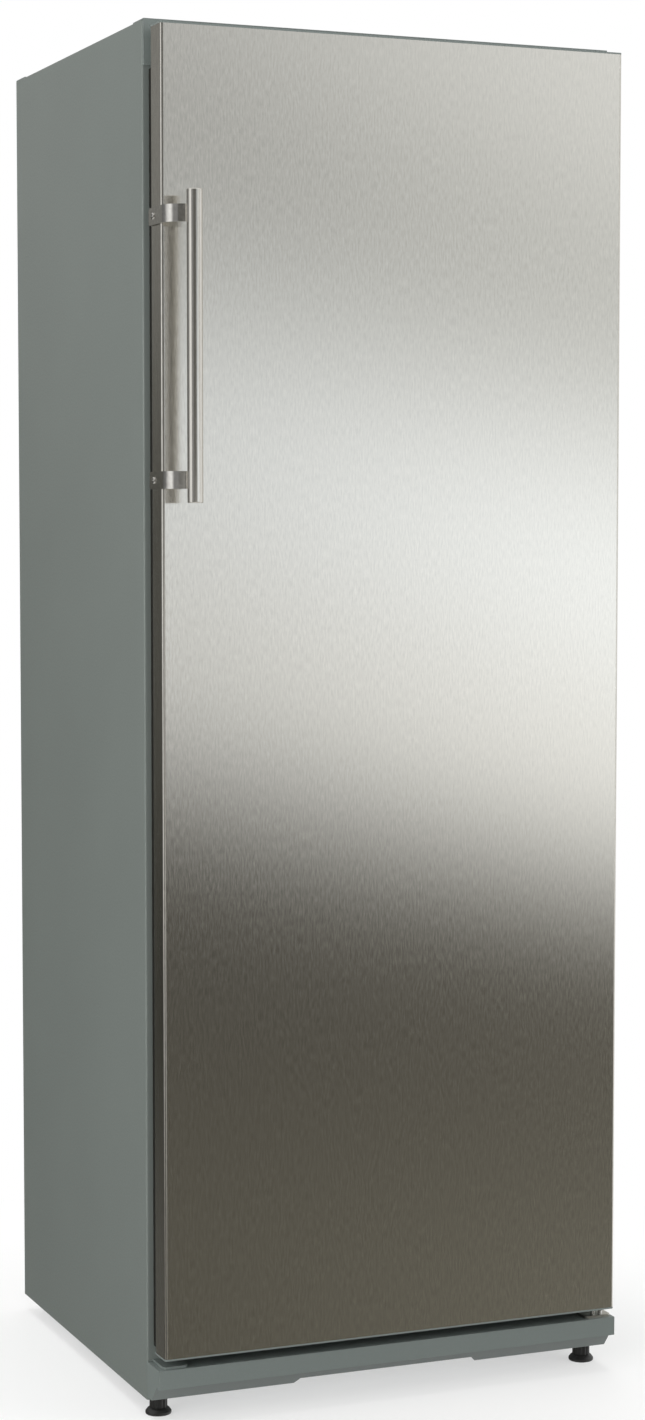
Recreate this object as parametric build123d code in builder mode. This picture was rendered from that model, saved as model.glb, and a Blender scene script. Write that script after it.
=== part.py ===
from build123d import *
import math
import os

# Upright freezer with one hinged stainless door and pull-out drawers.
# Millimetres. +Z is up, the door faces -Y, and the origin lies on the floor
# under the middle of the whole object.

# ---------------------------------------------------------------- overall size
CABINET_WIDTH = 600.0
OVERALL_HEIGHT = 1630.0
CABINET_DEPTH = 505.0  # steel shell, front flange to rear flange
HALF_WIDTH = CABINET_WIDTH / 2
SHEET = 0.8  # painted steel, and the door's stainless skin
BEND = 1.0  # inside radius of a fold
FOLD = BEND + SHEET  # outside radius of a fold
FOLD_CUT = 0.6 * FOLD  # the shell's small folds are drawn as chords
FOLD_SHRINK = 2 - math.sqrt(2)  # a chord's loss on the inside, per thickness
FOOT_HEIGHT = 21.0  # floor to the lower edge of the side panels
BASE_FRONT_Z = 68.0  # underside of the insulated body in front
TRIM_PROUD = 2.0  # the plastic trims stand above the steel by this
PANEL_TOP_Z = OVERALL_HEIGHT - TRIM_PROUD
TOP_PANEL_DROP = 14.0  # height of the top panel's folded sides
FRONT_FLANGE = 30.0
REAR_FLANGE = 16.0
CLEARANCE = 0.3  # between bodies that move past each other
RUNNING_FIT = 0.1  # radial, pin in bush and screw in hole

# ------------------------------------------------- plinth, crossbar, front feet
PLINTH_TOP_Z = BASE_FRONT_Z - 1.0
PLINTH_REACH = 42.7
PLINTH_LIP = 22.7  # height of the plinth's upright front lip
PLINTH_LIP_Z = PLINTH_TOP_Z - PLINTH_LIP
PLINTH_STEP = 10.7  # the lower strip starts this far behind the face
PLINTH_STRIP_BACK = 16.0
PLINTH_LOW_Z = 25.0
PLINTH_CUT_Z = 31.5
PLINTH_CUT_HALF = 120.0
PLINTH_WALL = 2.5
CROSSBAR_LOW_Z = 26.0
CROSSBAR_SHEET = 1.5
CROSSBAR_DEPTH = 46.0
FOOT_X = HALF_WIDTH - 18.0
FOOT_BEHIND = 12.0  # cabinet flange to the foot's axis
FOOT_RADIUS = 15.5
FOOT_NECK_RADIUS = 10.5
FOOT_STEM = 10.0
FOOT_FLANGE = 4.0
FOOT_SHOULDER = 4.0  # height of the shoulder round the neck
FOOT_SHOULDER_RADIUS = 14.5
FOOT_SLOPE = 3.0  # bevel of the shoulder
FOOT_STEM_TOP_DROP = 4.0
BLANK_PLATE_INSET = 7.0
BLANK_PLATE_WIDTH = 31.0
BLANK_PLATE_REACH = 38.0
BLANK_PLATE_THICKNESS = 2.5
PLATE_CORNER = 5.0  # round corners of the blank plate and the lower bracket

# ------------------------------------------------------------------------ door
DOOR_GAP = 14.0  # cabinet flange to the back of the door
DOOR_THICKNESS = 36.0
DOOR_REVEAL = 5.0  # cabinet's side to the door's side
DOOR_HALF = HALF_WIDTH - DOOR_REVEAL
DOOR_WIDTH = 2 * DOOR_HALF
DOOR_BOTTOM_Z = PLINTH_TOP_Z + 13.0
DOOR_TOP_Z = OVERALL_HEIGHT - 10.0
DOOR_CORNER = 3.5  # outside radius of the skin's two front folds
CAP_RIM = 2.0  # visible thickness of the plastic end caps
CAP_PLUG = 14.0  # depth that a cap reaches into the skin
CAP_WALL = 2.5
DOOR_LINER = 1.6
DOOR_LINER_INSET = 7.0
SKIN_RETURN = 12.0
DOOR_PAD_RISE = 5.0  # raised middle of the door's inner face
DOOR_PAD_INSET_X = 90.0
DOOR_PAD_INSET_Z = 80.0
DOOR_PAD_CORNER = 20.0
DOOR_PAD_SLOPE = 35.0  # degrees from square

# ---------------------------------------------------------------------- gasket
GASKET_OUTER_INSET = 1.0  # from the door's side to the gasket's lip
GASKET_WIDTH = 32.0
GASKET_TOP_DROP = 48.0  # door's top edge to the gasket's upper edge
GASKET_BOTTOM_RISE = 8.0
GASKET_LIP = 7.0  # straight part of the lip beside the door
GASKET_WALL = 0.8  # rubber over the magnet
BELLOWS_INSET = 6.0  # outer lip to the air chamber
BELLOWS_LOW = 2.5
BELLOWS_HIGH = 1.0
DART_WIDTH = 3.4
DART_DEPTH = 4.5
MAGNET_WIDTH = 10.0
MAGNET_THICKNESS = 3.6

# ---------------------------------------------------------------------- hinges
HINGE_INSET = 20.0  # door's side to the hinge axis
HINGE_X = DOOR_HALF - HINGE_INSET
HINGE_BEHIND_FACE = 18.0  # door's front face to the hinge axis
HINGE_PLATE = 3.0
PIN_DIAMETER = 6.0
PIN_END_GAP = 1.0  # pin's end to the end of its bush
PIN_COLLAR = 2.0  # height of the collar that carries the door
PIN_COLLAR_RIM = 1.5
BUSH_DIAMETER = 12.0
BUSH_LENGTH = 12.0
STOP_OFFSET = 9.0  # hinge axis to the stop stud beside it
STOP_FORWARD = 2.0
STOP_RADIUS = 3.0
STOP_HEIGHT = 5.0
ARM_HALF_WIDTH = 6.5
ARM_DROP = 9.0  # door's top edge down to the underside of the upper arm
ARM_ROOM = 1.5  # free space round the arm in the door's corner
ARM_SHOULDER = 2.0  # the arm widens this far in front of its leg
HINGE_LEG_GAP = 3.0  # cabinet's side to the hinges' upright legs
HINGE_LEG_WIDTH = 35.0
HINGE_LEG_OUTER = HALF_WIDTH - HINGE_LEG_GAP
HINGE_LEG_INNER = HINGE_LEG_OUTER - HINGE_LEG_WIDTH
HINGE_LEG_RISE = 4.0  # crossbar's lower edge to the lower leg's end

# ---------------------------------------------------------------------- handle
HANDLE_X = -(DOOR_HALF - 26.0)
HANDLE_STAND_OFF = 40.0  # door's face to the bar's axis
BAR_DIAMETER = 18.0
BAR_LENGTH = 352.0
BAR_CENTRE_Z = DOOR_TOP_Z - 367.0
BAR_CHAMFER = 0.8
BRACKET_PITCH = 300.0
BRACKET_HEIGHT = 20.0
BRACKET_STRIP = 2.5
BRACKET_BEND = 24.0
BRACKET_BACK = 0.5  # door's back plane to the strips' ends
BRACKET_END = 1.0  # the strips stop this far inside the bar's side
BAR_FLAT = 0.9  # depth of the milled seat on the bar
BAR_SEAT_ROOM = 0.4
SIDE_SCREW_BACK = 16.0  # door's back plane to the screws in its side
SCREW_RADIUS = 2.0
SCREW_HEAD = 8.0
SCREW_HEAD_HEIGHT = 2.0
SCREW_CHAMFER = 0.8
SCREW_DEPTH = 10.0
SCREW_END_GAP = 1.0  # screw's end to the end of its hole

# ---------------------------------------------------------------- inside space
LINER = 2.0
LINER_TONGUE = 12.0  # the liner's rim reaches behind the steel flange
SIDE_INSULATION = 65.0
FLOOR_INSULATION = 62.0
ROOF_INSULATION = 96.0
REAR_INSULATION = 70.0
CAVITY_HALF_WIDTH = HALF_WIDTH - SIDE_INSULATION
CAVITY_BOTTOM_Z = BASE_FRONT_Z + FLOOR_INSULATION
CAVITY_TOP_Z = OVERALL_HEIGHT - ROOF_INSULATION
CAVITY_DEPTH = CABINET_DEPTH - REAR_INSULATION
CAVITY_CORNER = 14.0
BAY_DEPTH = 193.0  # compressor bay's front wall to the rear flange
BAY_FRONT = CABINET_DEPTH - BAY_DEPTH
BAY_TOP_Z = BASE_FRONT_Z + 184.0
STEP_DEPTH = BAY_FRONT - 50.0  # clear depth in front of the compressor step
STEP_Z = BAY_TOP_Z + 48.0
LEDGE_REACH = 6.0
LEDGE_HEIGHT = 8.0
RAIL_RETURN = 12.0
RAIL_LAP = 2.0  # frame rails stop this far from the clear opening
RAIL_TRIM_LAP = 2.0  # the upper rail reaches this far behind the trim

# --------------------------------------------------------------------- drawers
DRAWER_COUNT = 6
DRAWER_TOP_ROOM = 18.0  # highest shelf to the top of the inside space
DRAWER_SHELF_ROOM = 28.0  # a drawer is lower than its place by this
DRAWER_SIDE_GAP = 8.0
DRAWER_PITCH = (CAVITY_TOP_Z - CAVITY_BOTTOM_Z - DRAWER_TOP_ROOM) / DRAWER_COUNT
DRAWER_HEIGHT = DRAWER_PITCH - DRAWER_SHELF_ROOM
DRAWER_HALF_WIDTH = CAVITY_HALF_WIDTH - DRAWER_SIDE_GAP
DRAWER_FRONT = 18.0  # drawer's front face behind the cabinet flange
DRAWER_DEPTH = CAVITY_DEPTH - DRAWER_FRONT - 12.0
LOW_DRAWER_DEPTH = STEP_DEPTH - DRAWER_FRONT - 6.0  # stops at the compressor step
DRAWER_WALL = 2.5
DRAWER_GRIP = 17.0  # depth of the finger space under the front lip
DRAWER_GRIP_HEIGHT = 30.0
DRAWER_TAPER = 8.0  # tub narrows by this much a side towards its floor
DRAWER_CORNER = 6.0
DRAWER_LIFT = 0.4

# ------------------------------------------------------------------ evaporator
EVAP_TUBE = 6.4
EVAP_TUBE_HALF = EVAP_TUBE / math.sqrt(3)  # half width over the tube's edges
EVAP_RUNS = 6
EVAP_WIRE = 1.8
EVAP_WIRES = 6
EVAP_FRONT = 34.0
EVAP_REAR = 66.0
EVAP_CUT = 18.0  # size of the mitred corners of a bend
EVAP_PITCH = (CAVITY_DEPTH - EVAP_FRONT - EVAP_REAR) / (EVAP_RUNS - 1)
EVAP_RETURN_X = CAVITY_HALF_WIDTH - EVAP_TUBE_HALF - CLEARANCE
EVAP_RIGHT_X = EVAP_RETURN_X
EVAP_LEFT_X = EVAP_RETURN_X - 2 * EVAP_TUBE_HALF - 2.5
EVAP_WIRE_INSET = 11.0

# ----------------------------------------------------------- compressor space
TRAY_Z = 38.0
TRAY_SHEET = 1.5
TRAY_TOP_Z = TRAY_Z + TRAY_SHEET
TRAY_LIP = 15.0
TRAY_FRONT_GAP = 4.0  # bay's front wall to the tray
TRAY_REAR_GAP = 1.0
COMPRESSOR_RADIUS = 74.0
COMPRESSOR_HEIGHT = 158.0
COMPRESSOR_X = 40.0
COMPRESSOR_BACK = 100.0  # rear flange to the compressor's axis
POT_FOOT = 20.0  # cone at the pot's foot, inward and upward
POT_STEP = 4.0  # the lid stands inside the lower shell by this
POT_SEAM_SHARE = 0.55
POT_SHOULDER = 30.0
POT_SIDES = 24
FOOT_PLATE_X = 2 * COMPRESSOR_RADIUS + 28.0
FOOT_PLATE_Y = 2 * COMPRESSOR_RADIUS - 36.0
FOOT_PLATE_SHEET = 3.0
FOOT_PLATE_CORNER = 10.0
GROMMET_HEIGHT = 12.0
GROMMET_RADIUS = 10.0
GROMMET_INSET = 12.0
BOLT_HEAD = 7.0
BOLT_HEAD_HEIGHT = 4.0
PAD_RISE = 8.0  # terminal pad in front of the pot's side
PAD_SINK = 14.0
PAD_MARGIN = 6.0
PAD_X = COMPRESSOR_X + COMPRESSOR_RADIUS + PAD_RISE  # where the relay cover sits
RELAY_Z = TRAY_Z + 94.0
RELAY_WIDTH = 52.0
RELAY_HEIGHT = 66.0
RELAY_DEPTH = 34.0
RELAY_CORNER = 5.0
RELAY_CHAMFER = 1.5
STUB_X = COMPRESSOR_X - COMPRESSOR_RADIUS - 12.0  # free ends of the pipe stubs
STUB_RADIUS = 4.5
STUB_LENGTH = 30.0
DISCHARGE_Z = TRAY_Z + 122.0
SUCTION_Z = TRAY_Z + 72.0
ROLLER_RADIUS = 12.0
ROLLER_WIDTH = 18.0
ROLLER_SIDES = 24
ROLLER_X = HALF_WIDTH - 45.0
ROLLER_BACK = 35.0  # rear flange to the rollers' axle
AXLE_DIAMETER = 6.0
EAR_THICKNESS = 2.0
EAR_LENGTH = 26.0
EAR_LOW_Z = 4.0
EAR_CHAMFER = 6.0
GLAND_X = 170.0
GLAND_Z = TRAY_Z + 28.0
GLAND_TAB_WIDTH = 34.0
GLAND_TAB_Z = TRAY_Z + 44.0
GLAND_NECK = 9.0
GLAND_RIM = 3.0
GLAND_BORE = 4.0
GLAND_FLANGE = 2.5
GLAND_LENGTH = 14.0
GLAND_SIDES = 12

# ------------------------------------------------------------- condenser, rear
COND_TUBE = 5.0
COND_WIRE = 1.6
COND_RUNS = 18
COND_HALF_WIDTH = HALF_WIDTH - 45.0
COND_LOW_Z = BAY_TOP_Z + 108.0
COND_HIGH_Z = OVERALL_HEIGHT - 216.0
COND_PITCH = (COND_HIGH_Z - COND_LOW_Z) / (COND_RUNS - 1)
COND_CUT = 18.0  # size of the mitred corners of a bend
COND_STAND_OFF = 18.0  # rear flange to the tube's axis
COND_WIRES = 18
COND_WIRE_REACH = 22.0
COND_EDGE_GAP = 4.0  # bends to the outermost wires
COND_TAIL = 56.0  # the lowest run's end turns down by this
COND_TAIL_X = -(COND_HALF_WIDTH - 40.0)
CLIP_WIDTH = 16.0
CLIP_FOOT_RIM = 4.0
CLIP_FOOT = 2.0
CLIP_TAPER = 8.0  # degrees
CLIP_X = COND_HALF_WIDTH - 50.0
CLIP_RUNS = (2, 9, 15)  # tube runs that the clips hold
SUCTION_X = COMPRESSOR_X - 160.0
SUCTION_TUBE = 6.4
CAPILLARY = 2.4
PIPE_CUT = 12.0
LIQUID_CUT = 9.6
CAPILLARY_CUT = 5.0
RISER_X = -(COND_HALF_WIDTH + 23.0)
DRIER_X = COND_TAIL_X
DRIER_BACK = 40.0
DRIER_TOP_Z = BAY_TOP_Z - 37.0
DRIER_LENGTH = 96.0
DRIER_RADIUS = 9.0
DRIER_NECK = 4.0
DRIER_NECK_LENGTH = 6.0
DRIER_SHOULDER = 4.5
DRIER_SIDES = 12
DRIER_PIPE_ABOVE = 22.0
DRIER_PIPE_BELOW = 14.0

# ------------------------------------------------------- top trims and controls
TRIM_LOW_Z = OVERALL_HEIGHT - 53.0
TRIM_LEG = 3.5
TRIM_SIDE_INSET = 1.2
TRIM_TOP_DEPTH = 34.0
REAR_TRIM_DEPTH = 38.0
REAR_TRIM_LEG = 1.5
REAR_TRIM_DROP = 24.0
TRIM_ROUND = 2.5
TRIM_NOTCH_GAP = 2.0  # room above the upper hinge arm
TRIM_NOTCH_SIDE = 4.0
CONTROL_Z = OVERALL_HEIGHT - 28.0
KNOB_X = -(HALF_WIDTH - 110.0)
KNOB_RADIUS = 15.0
KNOB_PROUD = 5.0
KNOB_STEM = 7.0
KNOB_CHAMFER = 0.8
KNOB_MARK_WIDTH = 1.6
KNOB_MARK_LENGTH = 6.0
KNOB_MARK_DEPTH = 0.8
SWITCH_X = KNOB_X + 50.0
SWITCH_WIDTH = 20.0
SWITCH_RADIUS = 9.0
SWITCH_AXIS_BEHIND = 3.5  # rocker's axis behind the cabinet flange
LENS_COUNT = 3
LENS_PITCH = 15.0
LENS_START = SWITCH_X + 35.0
LENS_RADIUS = 2.5
LENS_RIM = 1.5
LENS_FLANGE = 1.5
LENS_PROUD = 1.0
LENS_CHAMFER = 0.6
HOUSING_DEPTH = 30.0
HOUSING_HEIGHT = 36.0
HOUSING_WALL = 2.0
HOUSING_MARGIN_LEFT = 25.0  # knob's axis to the housing's left side
HOUSING_MARGIN_RIGHT = 15.0
HOUSING_BACK_ROOM = 12.0  # housing to the foam behind it
SOCKET_WALL = 3.0
KNOB_SOCKET = 10.0  # flange plane to the socket that carries the knob's stem
TRUNNION = 1.5  # radius of the rocker's side pins
TRUNNION_SIDES = 8
TWELVE = 12  # sides of stems, lenses and their holes
OCTAGON = 8  # sides of screws, screw holes and other small rounds

# ------------------------------------------------------------- derived planes
HANDLE_REACH = DOOR_GAP + DOOR_THICKNESS + HANDLE_STAND_OFF + BAR_DIAMETER / 2
REAR_REACH = COND_STAND_OFF + COND_TUBE / 2 + COND_WIRE
FRONT_Y = HANDLE_REACH - (HANDLE_REACH + CABINET_DEPTH + REAR_REACH) / 2
REAR_Y = FRONT_Y + CABINET_DEPTH
DOOR_BACK_Y = FRONT_Y - DOOR_GAP
DOOR_FACE_Y = DOOR_BACK_Y - DOOR_THICKNESS
HINGE_Y = DOOR_FACE_Y + HINGE_BEHIND_FACE
COND_Y = REAR_Y + COND_STAND_OFF
BACK_PANEL_Y = REAR_Y - SHEET
TRAY_REAR_Y = BACK_PANEL_Y - TRAY_REAR_GAP
ROLLER_Y = REAR_Y - ROLLER_BACK
COMPRESSOR_Y = REAR_Y - COMPRESSOR_BACK
DRIER_Y = REAR_Y - DRIER_BACK
FOOT_Y = FRONT_Y + FOOT_BEHIND
RAIL_TOP_Z = TRIM_LOW_Z + RAIL_TRIM_LAP
CONTROL_FLOOR_Z = RAIL_TOP_Z - SHEET
ARM_Z = DOOR_TOP_Z - ARM_DROP
NOTCH_Z = ARM_Z - ARM_ROOM
NOTCH_LEFT = HINGE_X - ARM_HALF_WIDTH - ARM_ROOM
NOTCH_FRONT = DOOR_FACE_Y + DOOR_CORNER + RUNNING_FIT
TOP_PLUG = CAP_PLUG + DOOR_TOP_Z - NOTCH_Z
GASKET_HALF = DOOR_HALF - GASKET_OUTER_INSET
GASKET_LOW_Z = DOOR_BOTTOM_Z + GASKET_BOTTOM_RISE
GASKET_HIGH_Z = DOOR_TOP_Z - GASKET_TOP_DROP
DART_INSET = (GASKET_WIDTH - DART_WIDTH) / 2
BRACKET_LEVELS = (BAR_CENTRE_Z - BRACKET_PITCH / 2, BAR_CENTRE_Z + BRACKET_PITCH / 2)
BAR_Y = DOOR_FACE_Y - HANDLE_STAND_OFF
BAR_SEAT_Y = BAR_Y + BAR_DIAMETER / 2 - BAR_FLAT
SIDE_SCREW_Y = DOOR_BACK_Y - SIDE_SCREW_BACK
LOWER_PLATE_Z = PLINTH_TOP_Z
HINGE_LEG_X = (HINGE_LEG_INNER + HINGE_LEG_OUTER) / 2
UPPER_SCREW_Z = (RAIL_TOP_Z + ARM_Z) / 2
LOWER_SCREW_Z = (CROSSBAR_LOW_Z + LOWER_PLATE_Z) / 2
STOP_X = HINGE_X + STOP_OFFSET
STOP_Y = HINGE_Y - STOP_FORWARD
LENS_POINTS = [(LENS_START + i * LENS_PITCH, CONTROL_Z) for i in range(LENS_COUNT)]
HOUSING_LEFT = KNOB_X - HOUSING_MARGIN_LEFT
HOUSING_RIGHT = LENS_POINTS[-1][0] + HOUSING_MARGIN_RIGHT


def at_depth(y):
    """Plane that looks out through the door: local x is +X, local y is +Z."""
    return Plane.XZ.offset(-y)


def side_view(x):
    """Plane seen from the right: local x is +Y, local y is +Z."""
    return Plane.YZ.offset(x)


def save(builder, name):
    builder.part.label = name
    export_step(builder.part, f"parts/{name}.step")


def cut_corners(points, cut):
    """The points of a bent line, with each turn drawn as one short chord."""
    corners = [Vector(*point) for point in points]
    route = [corners[0]]
    for before, corner, after in zip(corners, corners[1:], corners[2:]):
        route.append(corner + (before - corner).normalized() * cut)
        route.append(corner + (after - corner).normalized() * cut)
    route.append(corners[-1])
    return route


def folded(plane, points, thickness, side):
    """Section of a sheet folded square, with one face along the points."""
    hand = thickness if side == Side.LEFT else -thickness
    corners = [Vector(*point) for point in points]
    steps = [(end - start).normalized() for start, end in zip(corners, corners[1:])]
    across = [Vector(-step.Y, step.X) * hand for step in steps]
    near = [corners[0]]
    far = [corners[0] + across[0]]
    for index, corner in enumerate(corners[1:-1]):
        before = steps[index]
        after = steps[index + 1]
        near.append(corner - before * FOLD_CUT)
        near.append(corner + after * FOLD_CUT)
        corner += across[index] + across[index + 1]
        cut = FOLD_CUT - FOLD_SHRINK * after.dot(across[index])
        far.append(corner - before * cut)
        far.append(corner + after * cut)
    near.append(corners[-1])
    far.append(corners[-1] + across[-1])
    with BuildSketch(plane) as section:
        with BuildLine():
            Polyline(*near, *reversed(far), close=True)
        make_face()
    return section.sketch


def rolled(plane, points, thickness, side, radii):
    """Section of a sheet bent to radii that show, such as the door's edges."""
    with BuildSketch(plane) as section:
        with BuildLine():
            FilletPolyline(*points, radius=radii)
            offset(amount=thickness, side=side)
        make_face()
    return section.sketch


def hexagon_tube(points, cut, across_flats, flats_face):
    """Tube of hexagonal section whose turns are short slanting chords."""
    with BuildPart() as tube:
        with BuildLine() as path:
            Polyline(*cut_corners(points, cut))
        start = Plane(origin=path.line @ 0, x_dir=flats_face, z_dir=path.line % 0)
        with BuildSketch(start):
            RegularPolygon(across_flats / 2, 6, major_radius=False, rotation=30)
        sweep(transition=Transition.RIGHT)
    return tube.part


# --------------------------------------------------------------- cabinet shell
def side_panel(name, hand):
    inward = Side.RIGHT if hand < 0 else Side.LEFT
    edge = hand * HALF_WIDTH
    outline = [
        (edge - hand * FRONT_FLANGE, FRONT_Y),
        (edge, FRONT_Y),
        (edge, REAR_Y),
        (edge - hand * REAR_FLANGE, REAR_Y),
    ]
    with BuildPart() as panel:
        section = folded(Plane.XY.offset(FOOT_HEIGHT), outline, SHEET, inward)
        extrude(section, amount=PANEL_TOP_Z - FOOT_HEIGHT)
    save(panel, name)


def top_panel():
    reach = HALF_WIDTH - SHEET
    outline = [
        (-reach, PANEL_TOP_Z - TOP_PANEL_DROP),
        (-reach, PANEL_TOP_Z),
        (reach, PANEL_TOP_Z),
        (reach, PANEL_TOP_Z - TOP_PANEL_DROP),
    ]
    with BuildPart() as top:
        section = folded(at_depth(FRONT_Y + FOLD), outline, SHEET, Side.RIGHT)
        extrude(section, amount=-(CABINET_DEPTH - 2 * FOLD))
    save(top, "top_panel")


def back_panel():
    with BuildPart() as back:
        with BuildSketch(at_depth(BACK_PANEL_Y)):
            with Locations((0, (BAY_TOP_Z + PANEL_TOP_Z - SHEET) / 2)):
                Rectangle(2 * (HALF_WIDTH - SHEET - FOLD), PANEL_TOP_Z - SHEET - BAY_TOP_Z)
        extrude(amount=SHEET)
    save(back, "back_panel")


def front_frame_rails():
    half = HALF_WIDTH - FRONT_FLANGE
    upper = [
        (FRONT_Y, CAVITY_TOP_Z + RAIL_LAP),
        (FRONT_Y, RAIL_TOP_Z),
        (FRONT_Y + RAIL_RETURN, RAIL_TOP_Z),
    ]
    lower = [
        (FRONT_Y, CAVITY_BOTTOM_Z - RAIL_LAP),
        (FRONT_Y, BASE_FRONT_Z),
        (FRONT_Y + RAIL_RETURN, BASE_FRONT_Z),
    ]
    with BuildPart() as rails:
        extrude(folded(side_view(-half), upper, SHEET, Side.RIGHT), amount=2 * half)
        extrude(folded(side_view(-half), lower, SHEET, Side.LEFT), amount=2 * half)
    save(rails, "front_frame_rails")


def base_panel():
    """Floor under the insulation, stepped up over the compressor bay."""
    half = HALF_WIDTH - FOLD
    floor_z = BASE_FRONT_Z + 2 * SHEET
    outline = [
        (FRONT_Y + FOLD, floor_z),
        (FRONT_Y + BAY_FRONT, floor_z),
        (FRONT_Y + BAY_FRONT, BAY_TOP_Z + SHEET),
        (BACK_PANEL_Y - SHEET, BAY_TOP_Z + SHEET),
    ]
    with BuildPart() as base:
        extrude(folded(side_view(-half), outline, SHEET, Side.RIGHT), amount=2 * half)
    save(base, "base_panel")


def front_crossbar():
    """Channel between the side panels that carries the front feet."""
    half = HALF_WIDTH - FOLD
    front = FRONT_Y + SHEET
    outline = [
        (front + CROSSBAR_DEPTH, CROSSBAR_LOW_Z),
        (front, CROSSBAR_LOW_Z),
        (front, BASE_FRONT_Z),
        (front + CROSSBAR_DEPTH, BASE_FRONT_Z),
    ]
    with BuildPart() as bar:
        section = folded(side_view(-half), outline, CROSSBAR_SHEET, Side.RIGHT)
        extrude(section, amount=2 * half)
        with BuildSketch(Plane.XY.offset(CROSSBAR_LOW_Z)):
            with Locations((-FOOT_X, FOOT_Y), (FOOT_X, FOOT_Y)):
                RegularPolygon(FOOT_STEM / 2 + RUNNING_FIT, TWELVE, major_radius=False)
        extrude(amount=CROSSBAR_SHEET, mode=Mode.SUBTRACT)
    save(bar, "front_crossbar")


# ------------------------------------------------------------ inside the shell
def cavity_form(grow, plain=False):
    """The clear space inside, grown evenly, open at the front flange. Its
    plain form has chamfers that just clear the round corners."""
    half = CAVITY_HALF_WIDTH + grow
    step = FRONT_Y + STEP_DEPTH + grow
    rear = FRONT_Y + CAVITY_DEPTH + grow
    low = CAVITY_BOTTOM_Z - grow
    high = CAVITY_TOP_Z + grow
    with BuildPart() as form:
        with BuildSketch(side_view(0)):
            with BuildLine():
                Polyline(
                    (FRONT_Y, low),
                    (step, low),
                    (step, STEP_Z - grow),
                    (rear, STEP_Z - grow),
                    (rear, high),
                    (FRONT_Y, high),
                    close=True,
                )
            make_face()
        extrude(amount=half, both=True)
        corners = form.edges().filter_by(Axis.Y)
        if plain:
            chamfer(corners, length=(2 - math.sqrt(2)) * (CAVITY_CORNER + grow))
        else:
            fillet(corners, radius=CAVITY_CORNER + grow)
    return form.part


def drawer_floor_z(level):
    return CAVITY_BOTTOM_Z + level * DRAWER_PITCH


def ledge_top_z(level):
    return drawer_floor_z(level) - EVAP_WIRE - EVAP_TUBE


def inner_liner():
    rim_half = HALF_WIDTH - FRONT_FLANGE + LINER_TONGUE
    rim_low = CAVITY_BOTTOM_Z - LINER_TONGUE
    rim_high = CAVITY_TOP_Z + LINER_TONGUE
    grown = cavity_form(LINER)
    clear = cavity_form(0)
    with BuildPart() as liner:
        add(grown)
        with BuildSketch(at_depth(FRONT_Y + SHEET)):
            with Locations((0, (rim_low + rim_high) / 2)):
                Rectangle(2 * rim_half, rim_high - rim_low)
        extrude(amount=-LINER)
        with BuildSketch(at_depth(FRONT_Y + SHEET)):
            with Locations((0, (rim_low + rim_high) / 2)):
                Rectangle(2 * rim_half, rim_high - rim_low)
        extrude(amount=2 * LINER, mode=Mode.SUBTRACT)
        add(clear, mode=Mode.SUBTRACT)
        for level in range(1, DRAWER_COUNT + 1):
            middle = ledge_top_z(level) - LEDGE_HEIGHT / 2
            for x in (-1, 1):
                offset_x = x * (CAVITY_HALF_WIDTH - LEDGE_REACH / 2)
                with BuildSketch(at_depth(FRONT_Y + DRAWER_FRONT)):
                    with Locations((offset_x, middle)):
                        Rectangle(LEDGE_REACH, LEDGE_HEIGHT)
                extrude(amount=-(CAVITY_DEPTH - DRAWER_FRONT))
    save(liner, "inner_liner")


def insulation_foam():
    half = HALF_WIDTH - SHEET - FOLD
    front = FRONT_Y + SHEET + LINER
    rear = BACK_PANEL_Y - SHEET
    low = BASE_FRONT_Z + 2 * SHEET
    bay = FRONT_Y + BAY_FRONT
    bay_roof = BAY_TOP_Z + SHEET
    control_back = front + HOUSING_DEPTH + HOUSING_BACK_ROOM
    roof = PANEL_TOP_Z - SHEET
    with BuildPart() as foam:
        with BuildSketch(side_view(-half)) as outline:
            with BuildLine():
                Polyline(
                    (front, low),
                    (bay, low),
                    (bay, bay_roof),
                    (rear, bay_roof),
                    (rear, roof),
                    (control_back, roof),
                    (control_back, CONTROL_FLOOR_Z),
                    (front, CONTROL_FLOOR_Z),
                    close=True,
                )
            make_face()
            corners = outline.vertices()
            step_corner = corners.group_by(Axis.Z)[0].sort_by(Axis.Y)[-1]
            ends = corners.group_by(Axis.Y)[0] + corners.group_by(Axis.Y)[-1]
            chamfer([*ends, step_corner], length=FOLD)
        extrude(amount=2 * half)
        add(cavity_form(LINER, plain=True), mode=Mode.SUBTRACT)
    save(foam, "insulation_foam")


# ------------------------------------------------------------------------ door
def door_skin():
    edge = DOOR_BACK_Y - DOOR_LINER
    outline = [
        (-DOOR_HALF + SKIN_RETURN, edge),
        (-DOOR_HALF, edge),
        (-DOOR_HALF, DOOR_FACE_Y),
        (DOOR_HALF, DOOR_FACE_Y),
        (DOOR_HALF, edge),
        (DOOR_HALF - SKIN_RETURN, edge),
    ]
    radii = (FOLD, DOOR_CORNER, DOOR_CORNER, FOLD)
    low = DOOR_BOTTOM_Z + CAP_RIM
    high = DOOR_TOP_Z - CAP_RIM
    with BuildPart() as skin:
        extrude(rolled(Plane.XY.offset(low), outline, SHEET, Side.LEFT, radii), amount=high - low)
        with BuildSketch(Plane.XY.offset(NOTCH_Z)):
            with Locations((DOOR_HALF, (NOTCH_FRONT + DOOR_BACK_Y) / 2)):
                Rectangle(2 * (DOOR_HALF - NOTCH_LEFT), DOOR_BACK_Y - NOTCH_FRONT)
        extrude(amount=DOOR_TOP_Z - NOTCH_Z, mode=Mode.SUBTRACT)
        for z in BRACKET_LEVELS:
            for plane in (Plane.YZ.offset(-DOOR_HALF), Plane.YZ.offset(DOOR_HALF - SHEET)):
                with BuildSketch(plane):
                    with Locations((SIDE_SCREW_Y, z)):
                        screw_hole()
                extrude(amount=SHEET, mode=Mode.SUBTRACT)
    save(skin, "door_skin")


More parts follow.
